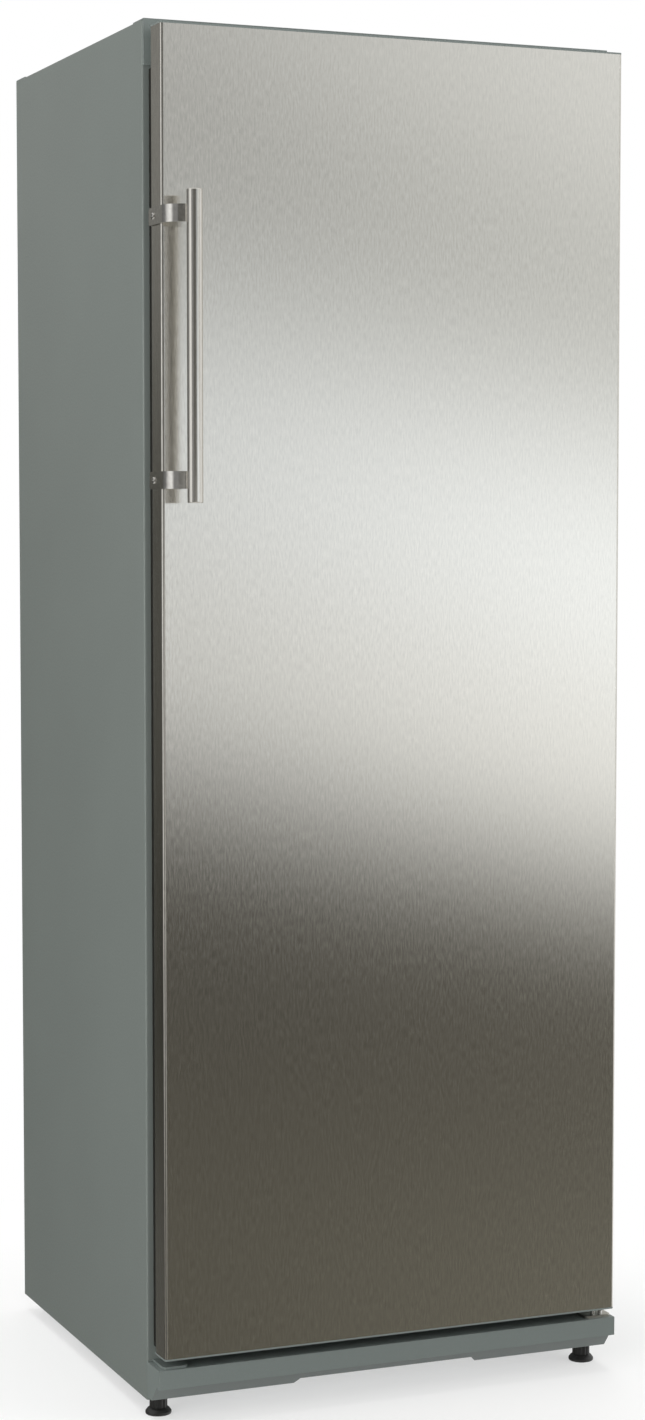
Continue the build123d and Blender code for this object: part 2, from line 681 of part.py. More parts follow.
def screw_hole():
    """Hole that just clears a screw's shank, in the sketch being drawn."""
    RegularPolygon(SCREW_RADIUS + RUNNING_FIT, OCTAGON, major_radius=False)


def door_plan(z, inset):
    """Outline of the door seen from above, drawn inward by the inset."""
    width = DOOR_WIDTH - 2 * inset
    front = DOOR_FACE_Y + inset
    back = DOOR_BACK_Y - (DOOR_LINER + SHEET if inset else 0)
    corner = DOOR_CORNER - inset + (CLEARANCE if inset else 0)
    with BuildSketch(Plane.XY.offset(z)) as plan:
        with Locations((0, (front + back) / 2)):
            Rectangle(width, back - front)
        fillet(plan.vertices().group_by(Axis.Y)[0], radius=corner)
        if inset:
            chamfer(plan.vertices().group_by(Axis.Y)[-1], length=BEND + CLEARANCE)
    return plan.sketch


def end_cap(name, outer_z, inward, plug):
    """Moulded end of the door: a rim, a plug inside the skin and a bush seat."""
    rim_z = outer_z + inward * CAP_RIM
    depth = inward * plug
    pocket = inward * (plug - CAP_WALL + CAP_RIM)
    bush_z = outer_z if inward > 0 else NOTCH_Z
    inner_width = DOOR_WIDTH - 2 * (SHEET + CAP_WALL)
    front = DOOR_FACE_Y + SHEET + CAP_WALL
    back = DOOR_BACK_Y - DOOR_LINER - SHEET - CAP_WALL
    with BuildPart() as cap:
        extrude(door_plan(outer_z, 0), amount=inward * CAP_RIM)
        extrude(door_plan(rim_z, SHEET), amount=depth)
        with BuildSketch(Plane.XY.offset(rim_z + depth)):
            with Locations((0, (front + back) / 2)):
                Rectangle(inner_width, back - front)
        extrude(amount=-pocket, mode=Mode.SUBTRACT)
        seat_left = NOTCH_LEFT - CAP_WALL
        seat_right = inner_width / 2
        with BuildSketch(Plane.XY.offset(rim_z)):
            with Locations(((seat_left + seat_right) / 2, (front + back) / 2)):
                Rectangle(seat_right - seat_left, back - front)
        extrude(amount=depth)
        if inward < 0:
            with BuildSketch(Plane.XY.offset(NOTCH_Z)):
                with Locations((DOOR_HALF, (NOTCH_FRONT + DOOR_BACK_Y) / 2)):
                    Rectangle(2 * (DOOR_HALF - NOTCH_LEFT), DOOR_BACK_Y - NOTCH_FRONT)
            extrude(amount=DOOR_TOP_Z - NOTCH_Z, mode=Mode.SUBTRACT)
        with BuildSketch(Plane.XY.offset(bush_z)):
            with Locations((HINGE_X, HINGE_Y)):
                RegularPolygon(BUSH_DIAMETER / 2, OCTAGON)
        extrude(amount=inward * BUSH_LENGTH, mode=Mode.SUBTRACT)
    save(cap, name)


def hinge_bushes():
    with BuildPart() as bushes:
        for z, up in ((DOOR_BOTTOM_Z, 1), (NOTCH_Z, -1)):
            with BuildSketch(Plane.XY.offset(z)):
                with Locations((HINGE_X, HINGE_Y)):
                    RegularPolygon(BUSH_DIAMETER / 2, OCTAGON)
                    RegularPolygon(
                        PIN_DIAMETER / 2 + RUNNING_FIT, TWELVE, major_radius=False, mode=Mode.SUBTRACT
                    )
            extrude(amount=up * BUSH_LENGTH)
    save(bushes, "hinge_bushes")


def gasket_ring(inset, width, y_front, y_back):
    """Mitred ring that follows the gasket's outer outline, drawn inward."""
    centre = (0, (GASKET_LOW_Z + GASKET_HIGH_Z) / 2)
    wide = 2 * (GASKET_HALF - inset)
    tall = GASKET_HIGH_Z - GASKET_LOW_Z - 2 * inset
    with BuildPart() as ring:
        with BuildSketch(at_depth(y_front)):
            with Locations(centre):
                Rectangle(wide, tall)
                Rectangle(wide - 2 * width, tall - 2 * width, mode=Mode.SUBTRACT)
        extrude(amount=-(y_back - y_front))
    return ring.part


def door_gasket():
    """Dart, folded bellows and magnet pocket; the lip stays inside the circle
    that the hinge side sweeps past the cabinet."""
    seat = DOOR_BACK_Y
    lip = seat + GASKET_LIP
    face = FRONT_Y - CLEARANCE
    centre = (0, (GASKET_LOW_Z + GASKET_HIGH_Z) / 2)
    wide = 2 * GASKET_HALF
    tall = GASKET_HIGH_Z - GASKET_LOW_Z
    taper = HINGE_INSET - GASKET_OUTER_INSET
    with BuildPart() as gasket:
        with BuildSketch(at_depth(seat)):
            with Locations(centre):
                Rectangle(wide, tall)
        extrude(amount=-GASKET_LIP)
        with BuildSketch(at_depth(lip)):
            with Locations(centre):
                Rectangle(wide, tall)
        with BuildSketch(at_depth(face)):
            with Locations(centre):
                Rectangle(wide - 2 * taper, tall - 2 * taper)
        loft(ruled=True)
        with BuildSketch(at_depth(seat)):
            with Locations(centre):
                Rectangle(wide - 2 * GASKET_WIDTH, tall - 2 * GASKET_WIDTH)
        extrude(amount=-DOOR_GAP, mode=Mode.SUBTRACT)
        add(gasket_ring(DART_INSET, DART_WIDTH, seat - DART_DEPTH, seat))
        bellows = gasket_ring(BELLOWS_INSET, GASKET_WIDTH, seat + BELLOWS_LOW, lip - BELLOWS_HIGH)
        add(bellows, mode=Mode.SUBTRACT)
        add(magnet_ring(GASKET_WIDTH), mode=Mode.SUBTRACT)
    save(gasket, "door_gasket")


def magnet_ring(width):
    inset = HINGE_INSET - GASKET_OUTER_INSET + GASKET_WALL
    back = FRONT_Y - CLEARANCE - GASKET_WALL
    return gasket_ring(inset, width, back - MAGNET_THICKNESS, back)


def gasket_magnets():
    with BuildPart() as magnets:
        add(magnet_ring(MAGNET_WIDTH))
    save(magnets, "gasket_magnets")


def inner_pad(sink):
    """Raised middle of the door's inner face, or the recess behind it."""
    wide = DOOR_WIDTH - 2 * DOOR_PAD_INSET_X - 2 * sink
    tall = DOOR_TOP_Z - DOOR_BOTTOM_Z - 2 * DOOR_PAD_INSET_Z - 2 * sink
    centre = (0, (DOOR_TOP_Z + DOOR_BOTTOM_Z) / 2)
    with BuildPart() as pad:
        with BuildSketch(at_depth(DOOR_BACK_Y - sink)) as outline:
            with Locations(centre):
                Rectangle(wide, tall)
            chamfer(outline.vertices(), length=DOOR_PAD_CORNER)
        extrude(amount=-DOOR_PAD_RISE, taper=DOOR_PAD_SLOPE)
    return pad.part


def door_inner_liner():
    half = DOOR_HALF - DOOR_LINER_INSET
    low = DOOR_BOTTOM_Z + CAP_RIM
    high = DOOR_TOP_Z - CAP_RIM
    bed = DOOR_BACK_Y - DART_DEPTH
    with BuildPart() as liner:
        with BuildSketch(at_depth(DOOR_BACK_Y)):
            with Locations((0, (low + high) / 2)):
                Rectangle(2 * half, high - low)
        extrude(amount=DOOR_LINER)
        add(dart_channel())
        add(gasket_ring(DART_INSET, DART_WIDTH, bed, DOOR_BACK_Y), mode=Mode.SUBTRACT)
        add(inner_pad(0))
        add(inner_pad(DOOR_LINER), mode=Mode.SUBTRACT)
        with BuildSketch(Plane.XY.offset(NOTCH_Z)):
            with Locations((DOOR_HALF, (NOTCH_FRONT + DOOR_BACK_Y) / 2)):
                Rectangle(2 * (DOOR_HALF - NOTCH_LEFT), DOOR_BACK_Y - NOTCH_FRONT)
        extrude(amount=DOOR_TOP_Z - NOTCH_Z, mode=Mode.SUBTRACT)
    save(liner, "door_inner_liner")


def dart_channel():
    inset = DART_INSET - DOOR_LINER
    bed = DOOR_BACK_Y - DART_DEPTH - DOOR_LINER
    return gasket_ring(inset, DART_WIDTH + 2 * DOOR_LINER, bed, DOOR_BACK_Y - DOOR_LINER)


def door_foam():
    half = DOOR_HALF - SHEET
    low = DOOR_BOTTOM_Z + CAP_RIM + CAP_PLUG
    high = DOOR_TOP_Z - CAP_RIM - TOP_PLUG
    front = DOOR_FACE_Y + SHEET
    back = DOOR_BACK_Y - DOOR_LINER
    with BuildPart() as foam:
        with BuildSketch(Plane.XY.offset(low)) as plan:
            with Locations((0, (front + back) / 2)):
                Rectangle(2 * half, back - front)
            fillet(plan.vertices().group_by(Axis.Y)[0], radius=DOOR_CORNER - SHEET + CLEARANCE)
            with Locations((-half, back), (half, back)):
                Rectangle(2 * SKIN_RETURN, 2 * SHEET, mode=Mode.SUBTRACT)
            chamfer(plan.vertices().group_by(Axis.X)[0].group_by(Axis.Y)[-1], length=BEND)
            chamfer(plan.vertices().group_by(Axis.X)[-1].group_by(Axis.Y)[-1], length=BEND)
        extrude(amount=high - low)
        add(dart_channel(), mode=Mode.SUBTRACT)
        add(inner_pad(DOOR_LINER))
        for z in BRACKET_LEVELS:
            for plane in (Plane.YZ.offset(-half), Plane.YZ.offset(half - SCREW_DEPTH)):
                with BuildSketch(plane):
                    with Locations((SIDE_SCREW_Y, z)):
                        screw_hole()
                extrude(amount=SCREW_DEPTH, mode=Mode.SUBTRACT)
    save(foam, "door_foam")


# ---------------------------------------------------------------------- handle
def handle_bar():
    low = BAR_CENTRE_Z - BAR_LENGTH / 2
    with BuildPart() as bar:
        with BuildSketch(Plane.XY.offset(low)):
            with Locations((HANDLE_X, BAR_Y)):
                Circle(BAR_DIAMETER / 2)
        extrude(amount=BAR_LENGTH)
        chamfer(bar.edges().filter_by(GeomType.CIRCLE), length=BAR_CHAMFER)
        for z in BRACKET_LEVELS:
            with BuildSketch(at_depth(BAR_SEAT_Y)):
                with Locations((HANDLE_X, z)):
                    Rectangle(BAR_DIAMETER, BRACKET_HEIGHT + BAR_SEAT_ROOM)
            extrude(amount=-BAR_DIAMETER, mode=Mode.SUBTRACT)
            with BuildSketch(at_depth(BAR_SEAT_Y)):
                with Locations((HANDLE_X, z)):
                    screw_hole()
            extrude(amount=SCREW_DEPTH, mode=Mode.SUBTRACT)
    save(bar, "handle_bar")


def handle_brackets():
    """Flat strips, screwed to the door's side and bent round to the bar."""
    side = -DOOR_HALF - BRACKET_STRIP
    outline = [
        (side, DOOR_BACK_Y - BRACKET_BACK),
        (side, BAR_SEAT_Y),
        (HANDLE_X + BAR_DIAMETER / 2 - BRACKET_END, BAR_SEAT_Y),
    ]
    low = BRACKET_LEVELS[0] - BRACKET_HEIGHT / 2
    with BuildPart() as brackets:
        section = rolled(Plane.XY.offset(low), outline, BRACKET_STRIP, Side.LEFT, BRACKET_BEND)
        extrude(section, amount=BRACKET_HEIGHT)
        chamfer(brackets.edges().filter_by(Axis.X).group_by(Axis.Y)[-1], length=BRACKET_STRIP)
        add(brackets.part.moved(Location((0, 0, BRACKET_PITCH))))
        for z in BRACKET_LEVELS:
            with BuildSketch(side_view(side)):
                with Locations((SIDE_SCREW_Y, z)):
                    screw_hole()
            extrude(amount=BRACKET_STRIP, mode=Mode.SUBTRACT)
            with BuildSketch(at_depth(BAR_SEAT_Y)):
                with Locations((HANDLE_X, z)):
                    screw_hole()
            extrude(amount=-BRACKET_STRIP, mode=Mode.SUBTRACT)
    save(brackets, "handle_brackets")


def pan_screw(head_plane, length):
    """Pan head on the plane's outer side, shank along its inner side."""
    with BuildPart() as screw:
        with BuildSketch(head_plane):
            RegularPolygon(SCREW_HEAD / 2, OCTAGON)
        extrude(amount=SCREW_HEAD_HEIGHT)
        outward = Axis(head_plane.origin, head_plane.z_dir)
        crown = screw.faces().sort_by(outward)[-1]
        chamfer(crown.edges(), length=SCREW_CHAMFER)
        with BuildSketch(head_plane):
            RegularPolygon(SCREW_RADIUS, OCTAGON)
        extrude(amount=-length)
    return screw.part


def handle_screws():
    with BuildPart() as screws:
        for z in BRACKET_LEVELS:
            side = Plane(
                origin=(-DOOR_HALF - BRACKET_STRIP, SIDE_SCREW_Y, z),
                x_dir=(0, 1, 0),
                z_dir=(-1, 0, 0),
            )
            add(pan_screw(side, BRACKET_STRIP + SHEET + SCREW_DEPTH - SCREW_END_GAP))
            rear = Plane(
                origin=(HANDLE_X, BAR_SEAT_Y + BRACKET_STRIP, z),
                x_dir=(1, 0, 0),
                z_dir=(0, 1, 0),
            )
            add(pan_screw(rear, BRACKET_STRIP + SCREW_DEPTH - SCREW_END_GAP))
    save(screws, "handle_screws")


def door_side_plugs():
    """Blanking plugs where the handle goes when the door is hung reversed."""
    with BuildPart() as plugs:
        for z in BRACKET_LEVELS:
            outward = Plane(
                origin=(DOOR_HALF, SIDE_SCREW_Y, z), x_dir=(0, 1, 0), z_dir=(1, 0, 0)
            )
            add(pan_screw(outward, SHEET + SCREW_DEPTH - 2 * SCREW_END_GAP))
    save(plugs, "door_side_plugs")


# ---------------------------------------------------------------------- hinges
def hinge_arm(plate_z, widen_y):
    """Flat arm with a round end about the hinge axis, wide at the cabinet."""
    with BuildPart() as arm:
        with BuildSketch(Plane.XY.offset(plate_z)):
            with Locations((HINGE_X, HINGE_Y)):
                Circle(ARM_HALF_WIDTH)
            with Locations((HINGE_X, (HINGE_Y + FRONT_Y) / 2)):
                Rectangle(2 * ARM_HALF_WIDTH, FRONT_Y - HINGE_Y)
            with Locations((HINGE_LEG_X, (widen_y + FRONT_Y) / 2)):
                Rectangle(HINGE_LEG_WIDTH, FRONT_Y - widen_y)
        extrude(amount=HINGE_PLATE)
    return arm.part


def upper_hinge_bracket():
    low = RAIL_TOP_Z + SHEET
    with BuildPart() as bracket:
        add(hinge_arm(ARM_Z, FRONT_Y - HINGE_PLATE - ARM_SHOULDER))
        with BuildSketch(at_depth(FRONT_Y)):
            with Locations((HINGE_LEG_X, (low + ARM_Z) / 2)):
                Rectangle(HINGE_LEG_WIDTH, ARM_Z - low)
            with Locations(*screw_points(UPPER_SCREW_Z)):
                RegularPolygon(
                    SCREW_RADIUS + RUNNING_FIT, OCTAGON, major_radius=False, mode=Mode.SUBTRACT
                )
        extrude(amount=HINGE_PLATE)
    save(bracket, "upper_hinge_bracket")


def lower_hinge_bracket():
    low = CROSSBAR_LOW_Z + HINGE_LEG_RISE
    front = HINGE_Y - ARM_HALF_WIDTH
    with BuildPart() as bracket:
        with BuildSketch(Plane.XY.offset(LOWER_PLATE_Z)) as plan:
            with Locations((HINGE_LEG_X, (front + FRONT_Y) / 2)):
                Rectangle(HINGE_LEG_WIDTH, FRONT_Y - front)
            fillet(plan.vertices().group_by(Axis.Y)[0], radius=PLATE_CORNER)
        extrude(amount=HINGE_PLATE)
        with BuildSketch(at_depth(FRONT_Y)):
            with Locations((HINGE_LEG_X, (low + LOWER_PLATE_Z) / 2)):
                Rectangle(HINGE_LEG_WIDTH, LOWER_PLATE_Z - low)
            with Locations(*screw_points(LOWER_SCREW_Z)):
                RegularPolygon(
                    SCREW_RADIUS + RUNNING_FIT, OCTAGON, major_radius=False, mode=Mode.SUBTRACT
                )
        extrude(amount=HINGE_PLATE)
    save(bracket, "lower_hinge_bracket")


def hinge_pins():
    """Lower pin with its collar, upper pin, and the lower plate's stop stud."""
    plate_top = LOWER_PLATE_Z + HINGE_PLATE
    with BuildPart() as pins:
        with BuildSketch(Plane.XY.offset(plate_top)):
            with Locations((HINGE_X, HINGE_Y)):
                Circle(PIN_DIAMETER / 2)
        extrude(amount=DOOR_BOTTOM_Z - plate_top + BUSH_LENGTH - PIN_END_GAP)
        with BuildSketch(Plane.XY.offset(DOOR_BOTTOM_Z - CLEARANCE)):
            with Locations((HINGE_X, HINGE_Y)):
                RegularPolygon(PIN_DIAMETER / 2 + PIN_COLLAR_RIM, OCTAGON)
        extrude(amount=-PIN_COLLAR)
        with BuildSketch(Plane.XY.offset(ARM_Z)):
            with Locations((HINGE_X, HINGE_Y)):
                Circle(PIN_DIAMETER / 2)
        extrude(amount=-(ARM_ROOM + BUSH_LENGTH - PIN_END_GAP))
        with BuildSketch(Plane.XY.offset(plate_top)):
            with Locations((STOP_X, STOP_Y)):
                RegularPolygon(STOP_RADIUS, TWELVE)
        extrude(amount=STOP_HEIGHT)
    save(pins, "hinge_pins")


def screw_points(z):
    spread = HINGE_LEG_WIDTH / 4
    return [(HINGE_LEG_X - spread, z), (HINGE_LEG_X + spread, z)]


def hinge_screws():
    with BuildPart() as screws:
        for x, z in screw_points(UPPER_SCREW_Z) + screw_points(LOWER_SCREW_Z):
            out = Plane(origin=(x, FRONT_Y - HINGE_PLATE, z), x_dir=(1, 0, 0), z_dir=(0, -1, 0))
            add(pan_screw(out, HINGE_PLATE))
    save(screws, "hinge_screws")


# ------------------------------------------------------- top trims and controls
def trim_hood(top_depth, leg, drop, corner_y, hand):
    """L-shaped plastic strip over a top edge; hand is -1 at the front."""
    half = HALF_WIDTH - TRIM_SIDE_INSET
    outer = corner_y + hand * leg
    inner = corner_y - hand * top_depth
    low = OVERALL_HEIGHT - drop
    with BuildPart() as hood:
        with BuildSketch(side_view(-half)) as section:
            with BuildLine():
                Polyline(
                    (outer, low),
                    (outer, OVERALL_HEIGHT),
                    (inner, OVERALL_HEIGHT),
                    (inner, PANEL_TOP_Z),
                    (corner_y, PANEL_TOP_Z),
                    (corner_y, low),
                    close=True,
                )
            make_face()
            outer_corner = section.vertices().group_by(Axis.Y)[0 if hand < 0 else -1]
            fillet(outer_corner.sort_by(Axis.Z)[-1], radius=min(TRIM_ROUND, leg - CLEARANCE))
        extrude(amount=2 * half)
    return hood.part


def front_top_trim():
    drop = OVERALL_HEIGHT - TRIM_LOW_Z
    half = HALF_WIDTH - TRIM_SIDE_INSET
    with BuildPart() as trim:
        add(trim_hood(TRIM_TOP_DEPTH, TRIM_LEG, drop, FRONT_Y, -1))
        notch_left = HINGE_LEG_INNER - TRIM_NOTCH_SIDE
        notch_top = ARM_Z + HINGE_PLATE + TRIM_NOTCH_GAP
        with BuildSketch(at_depth(FRONT_Y)):
            with Locations((KNOB_X, CONTROL_Z)):
                RegularPolygon(KNOB_STEM / 2 + RUNNING_FIT, TWELVE, major_radius=False)
            with Locations((SWITCH_X, CONTROL_Z)):
                Rectangle(SWITCH_WIDTH + 2 * CLEARANCE, 2 * SWITCH_RADIUS)
            with Locations(*LENS_POINTS):
                RegularPolygon(LENS_RADIUS + RUNNING_FIT, TWELVE)
            with Locations((half, (TRIM_LOW_Z + notch_top) / 2)):
                Rectangle(2 * (half - notch_left), notch_top - TRIM_LOW_Z)
        extrude(amount=TRIM_LEG, mode=Mode.SUBTRACT)
    save(trim, "front_top_trim")


def rear_top_trim():
    with BuildPart() as trim:
        add(trim_hood(REAR_TRIM_DEPTH, REAR_TRIM_LEG, REAR_TRIM_DROP, REAR_Y, 1))
    save(trim, "rear_top_trim")


def control_housing():
    middle = (HOUSING_LEFT + HOUSING_RIGHT) / 2
    wide = HOUSING_RIGHT - HOUSING_LEFT
    tall = HOUSING_HEIGHT
    cheek = SWITCH_WIDTH / 2 + CLEARANCE + HOUSING_WALL / 2
    with BuildPart() as housing:
        with BuildSketch(at_depth(FRONT_Y)):
            with Locations((middle, CONTROL_Z)):
                Rectangle(wide, tall)
        extrude(amount=-HOUSING_DEPTH)
        with BuildSketch(at_depth(FRONT_Y)):
            with Locations((middle, CONTROL_Z)):
                Rectangle(wide - 2 * HOUSING_WALL, tall - 2 * HOUSING_WALL)
        extrude(amount=-(HOUSING_DEPTH - HOUSING_WALL), mode=Mode.SUBTRACT)
        with BuildSketch(at_depth(FRONT_Y + KNOB_SOCKET)):
            with Locations((KNOB_X, CONTROL_Z)):
                RegularPolygon(KNOB_STEM / 2 + SOCKET_WALL, OCTAGON)
        extrude(amount=-(HOUSING_DEPTH - KNOB_SOCKET))
        with BuildSketch(at_depth(FRONT_Y)):
            with Locations((KNOB_X, CONTROL_Z)):
                RegularPolygon(KNOB_STEM / 2 + RUNNING_FIT, TWELVE, major_radius=False)
        extrude(amount=-(HOUSING_DEPTH - HOUSING_WALL), mode=Mode.SUBTRACT)
        with BuildSketch(at_depth(FRONT_Y)):
            with Locations((SWITCH_X - cheek, CONTROL_Z), (SWITCH_X + cheek, CONTROL_Z)):
                Rectangle(HOUSING_WALL, tall)
        extrude(amount=-HOUSING_DEPTH)
        with BuildSketch(side_view(SWITCH_X)):
            with Locations((FRONT_Y + SWITCH_AXIS_BEHIND, CONTROL_Z)):
                RegularPolygon(TRUNNION + RUNNING_FIT, TRUNNION_SIDES, major_radius=False)
        extrude(amount=cheek + HOUSING_WALL / 2, both=True, mode=Mode.SUBTRACT)
    save(housing, "control_housing")


def thermostat_knob():
    """Knob with flats for the fingers, a sunk mark and a round stem."""
    face = FRONT_Y - TRIM_LEG - CLEARANCE
    mark_z = CONTROL_Z + KNOB_RADIUS - KNOB_MARK_LENGTH / 2 - KNOB_CHAMFER - CLEARANCE
    with BuildPart() as knob:
        with BuildSketch(at_depth(face)):
            with Locations((KNOB_X, CONTROL_Z)):
                RegularPolygon(KNOB_RADIUS, 2 * TWELVE)
        extrude(amount=KNOB_PROUD)
        chamfer(knob.faces().sort_by(Axis.Y)[0].edges(), length=KNOB_CHAMFER)
        with BuildSketch(at_depth(face - KNOB_PROUD)):
            with Locations((KNOB_X, mark_z)):
                Rectangle(KNOB_MARK_WIDTH, KNOB_MARK_LENGTH)
        extrude(amount=-KNOB_MARK_DEPTH, mode=Mode.SUBTRACT)
        with BuildSketch(at_depth(face)):
            with Locations((KNOB_X, CONTROL_Z)):
                Circle(KNOB_STEM / 2)
        extrude(amount=-(TRIM_LEG + HOUSING_DEPTH - HOUSING_WALL))
    save(knob, "thermostat_knob")


def fast_freeze_switch():
    """Rocker with two pressing faces that meet in a ridge, on trunnions."""
    axis_y = FRONT_Y + SWITCH_AXIS_BEHIND
    lean = SWITCH_RADIUS / 2
    end = SWITCH_RADIUS * math.cos(math.radians(30))
    with BuildPart() as rocker:
        with BuildSketch(side_view(SWITCH_X)):
            with BuildLine():
                Polyline(
                    (axis_y - SWITCH_RADIUS, CONTROL_Z),
                    (axis_y - lean, CONTROL_Z + end),
                    (axis_y + lean, CONTROL_Z + lean),
                    (axis_y + lean, CONTROL_Z - lean),
                    (axis_y - lean, CONTROL_Z - end),
                    close=True,
                )
            make_face()
        extrude(amount=SWITCH_WIDTH / 2, both=True)
        with BuildSketch(side_view(SWITCH_X)):
            with Locations((axis_y, CONTROL_Z)):
                Circle(TRUNNION)
        extrude(amount=SWITCH_WIDTH / 2 + HOUSING_WALL, both=True)
    save(rocker, "fast_freeze_switch")


def indicator_lenses():
    with BuildPart() as lenses:
        with BuildSketch(at_depth(FRONT_Y)):
            with Locations(*LENS_POINTS):
                RegularPolygon(LENS_RADIUS + LENS_RIM, TWELVE)
        extrude(amount=-LENS_FLANGE)
        with BuildSketch(at_depth(FRONT_Y)):
            with Locations(*LENS_POINTS):
                RegularPolygon(LENS_RADIUS, TWELVE)
        extrude(amount=TRIM_LEG + LENS_PROUD)
        crowns = lenses.faces().group_by(Axis.Y)[0]
        chamfer(crowns.edges(), length=LENS_CHAMFER)
    save(lenses, "indicator_lenses")


# --------------------------------------------------------- plinth, feet, rollers
def plinth_solid(half, inset):
    """Plinth's outline from the side, drawn inward by the wall thickness."""
    slope = math.atan2(PLINTH_LIP_Z - PLINTH_LOW_Z, PLINTH_REACH - PLINTH_STEP - PLINTH_STRIP_BACK)
    shift = inset / math.sin(slope)
    with BuildPart() as solid:
        with BuildSketch(side_view(-half)):
            with BuildLine():
                Polyline(
                    (FRONT_Y, PLINTH_TOP_Z - inset),
                    (FRONT_Y - PLINTH_REACH + inset, PLINTH_TOP_Z - inset),
                    (FRONT_Y - PLINTH_REACH + inset, PLINTH_LIP_Z + inset),
                    (FRONT_Y - PLINTH_REACH + PLINTH_STEP + shift, PLINTH_LIP_Z + inset),
                    (FRONT_Y - PLINTH_STRIP_BACK + shift, PLINTH_LOW_Z),
                    (FRONT_Y, PLINTH_LOW_Z),
                    close=True,
                )
            make_face()
        extrude(amount=2 * half)
    return solid.part


def plinth():
    rise = PLINTH_CUT_Z - PLINTH_LOW_Z
    with BuildPart() as skirt:
        add(plinth_solid(HALF_WIDTH, 0))
        add(plinth_solid(HALF_WIDTH - PLINTH_WALL, PLINTH_WALL), mode=Mode.SUBTRACT)
        with BuildSketch(at_depth(FRONT_Y)):
            with Locations((0, PLINTH_LOW_Z + rise / 2)):
                Trapezoid(2 * PLINTH_CUT_HALF, rise, 45)
        extrude(amount=PLINTH_REACH, mode=Mode.SUBTRACT)
        with BuildSketch(Plane.XY.offset(PLINTH_TOP_Z)):
            with Locations((HINGE_LEG_X, FRONT_Y - HINGE_PLATE / 2)):
                Rectangle(HINGE_LEG_WIDTH + 2 * CLEARANCE, HINGE_PLATE + 2 * CLEARANCE)
        extrude(amount=-PLINTH_WALL, mode=Mode.SUBTRACT)
    save(skirt, "plinth")


def hinge_blank_plate():
    """Covers the spare hinge place on the handle side."""
    middle = -(HALF_WIDTH - BLANK_PLATE_INSET - BLANK_PLATE_WIDTH / 2)
    with BuildPart() as plate:
        with BuildSketch(Plane.XY.offset(PLINTH_TOP_Z)) as plan:
            with Locations((middle, FRONT_Y - BLANK_PLATE_REACH / 2)):
                Rectangle(BLANK_PLATE_WIDTH, BLANK_PLATE_REACH)
            fillet(plan.vertices().group_by(Axis.Y)[0], radius=PLATE_CORNER)
        extrude(amount=BLANK_PLATE_THICKNESS)
    save(plate, "hinge_blank_plate")


def levelling_foot(name, hand):
    """Screw foot: a round pad, a neck with flats for the fingers and a stem."""
    x = hand * FOOT_X
    neck_top = CROSSBAR_LOW_Z - CLEARANCE
    with BuildPart() as foot:
        with BuildSketch(Plane.XY):
            with Locations((x, FOOT_Y)):
                Circle(FOOT_RADIUS)
        extrude(amount=FOOT_FLANGE)
        with BuildSketch(Plane.XY.offset(FOOT_FLANGE)):
            with Locations((x, FOOT_Y)):
                RegularPolygon(FOOT_SHOULDER_RADIUS, TWELVE)
        extrude(amount=FOOT_SHOULDER)
        chamfer(foot.edges().group_by(Axis.Z)[-1], length=FOOT_SLOPE)
        with BuildSketch(Plane.XY.offset(FOOT_FLANGE)):
            with Locations((x, FOOT_Y)):
                RegularPolygon(FOOT_NECK_RADIUS, TWELVE)
        extrude(amount=neck_top - FOOT_FLANGE)
        with BuildSketch(Plane.XY.offset(neck_top)):
            with Locations((x, FOOT_Y)):
                RegularPolygon(FOOT_STEM / 2, TWELVE)
        extrude(amount=BASE_FRONT_Z - FOOT_STEM_TOP_DROP - neck_top)
    save(foot, name)


def roller(name, hand):
    x = hand * ROLLER_X
    with BuildPart() as wheel:
        with BuildSketch(side_view(x)):
            with Locations((ROLLER_Y, ROLLER_RADIUS)):
                RegularPolygon(ROLLER_RADIUS, ROLLER_SIDES)
                RegularPolygon(
                    AXLE_DIAMETER / 2 + RUNNING_FIT, TWELVE, major_radius=False, mode=Mode.SUBTRACT
                )
        extrude(amount=ROLLER_WIDTH / 2, both=True)
    save(wheel, name)


# ------------------------------------------------------------ compressor space
def compressor_tray():
    """Folded tray with a lip front and rear, axle ears and a cord tab."""
    half = HALF_WIDTH - FOLD
    front = FRONT_Y + BAY_FRONT + TRAY_FRONT_GAP
    rear = TRAY_REAR_Y
    lip_z = TRAY_Z + TRAY_LIP
    outline = [(front, lip_z), (front, TRAY_Z), (rear, TRAY_Z), (rear, lip_z)]
    with BuildPart() as tray:
        section = folded(side_view(-half), outline, TRAY_SHEET, Side.LEFT)
        extrude(section, amount=2 * half)
        gap = ROLLER_WIDTH / 2 + CLEARANCE
        for x in (-ROLLER_X, ROLLER_X):
            for inner in (x - gap - EAR_THICKNESS, x + gap):
                with BuildSketch(side_view(inner)) as ear:
                    with Locations((ROLLER_Y, (EAR_LOW_Z + TRAY_Z) / 2)):
                        Rectangle(EAR_LENGTH, TRAY_Z - EAR_LOW_Z)
                    chamfer(ear.vertices().group_by(Axis.Z)[0], length=EAR_CHAMFER)
                extrude(amount=EAR_THICKNESS)
            with BuildSketch(side_view(x)):
                with Locations((ROLLER_Y, ROLLER_RADIUS)):
                    Circle(AXLE_DIAMETER / 2)
            extrude(amount=gap + EAR_THICKNESS / 2, both=True)
        with BuildSketch(at_depth(rear)):
            with Locations((GLAND_X, (lip_z + GLAND_TAB_Z) / 2)):
                Rectangle(GLAND_TAB_WIDTH, GLAND_TAB_Z - lip_z)
            with Locations((GLAND_X, GLAND_Z)):
                RegularPolygon(GLAND_NECK, GLAND_SIDES, mode=Mode.SUBTRACT)
        extrude(amount=TRAY_SHEET)
    save(tray, "compressor_tray")


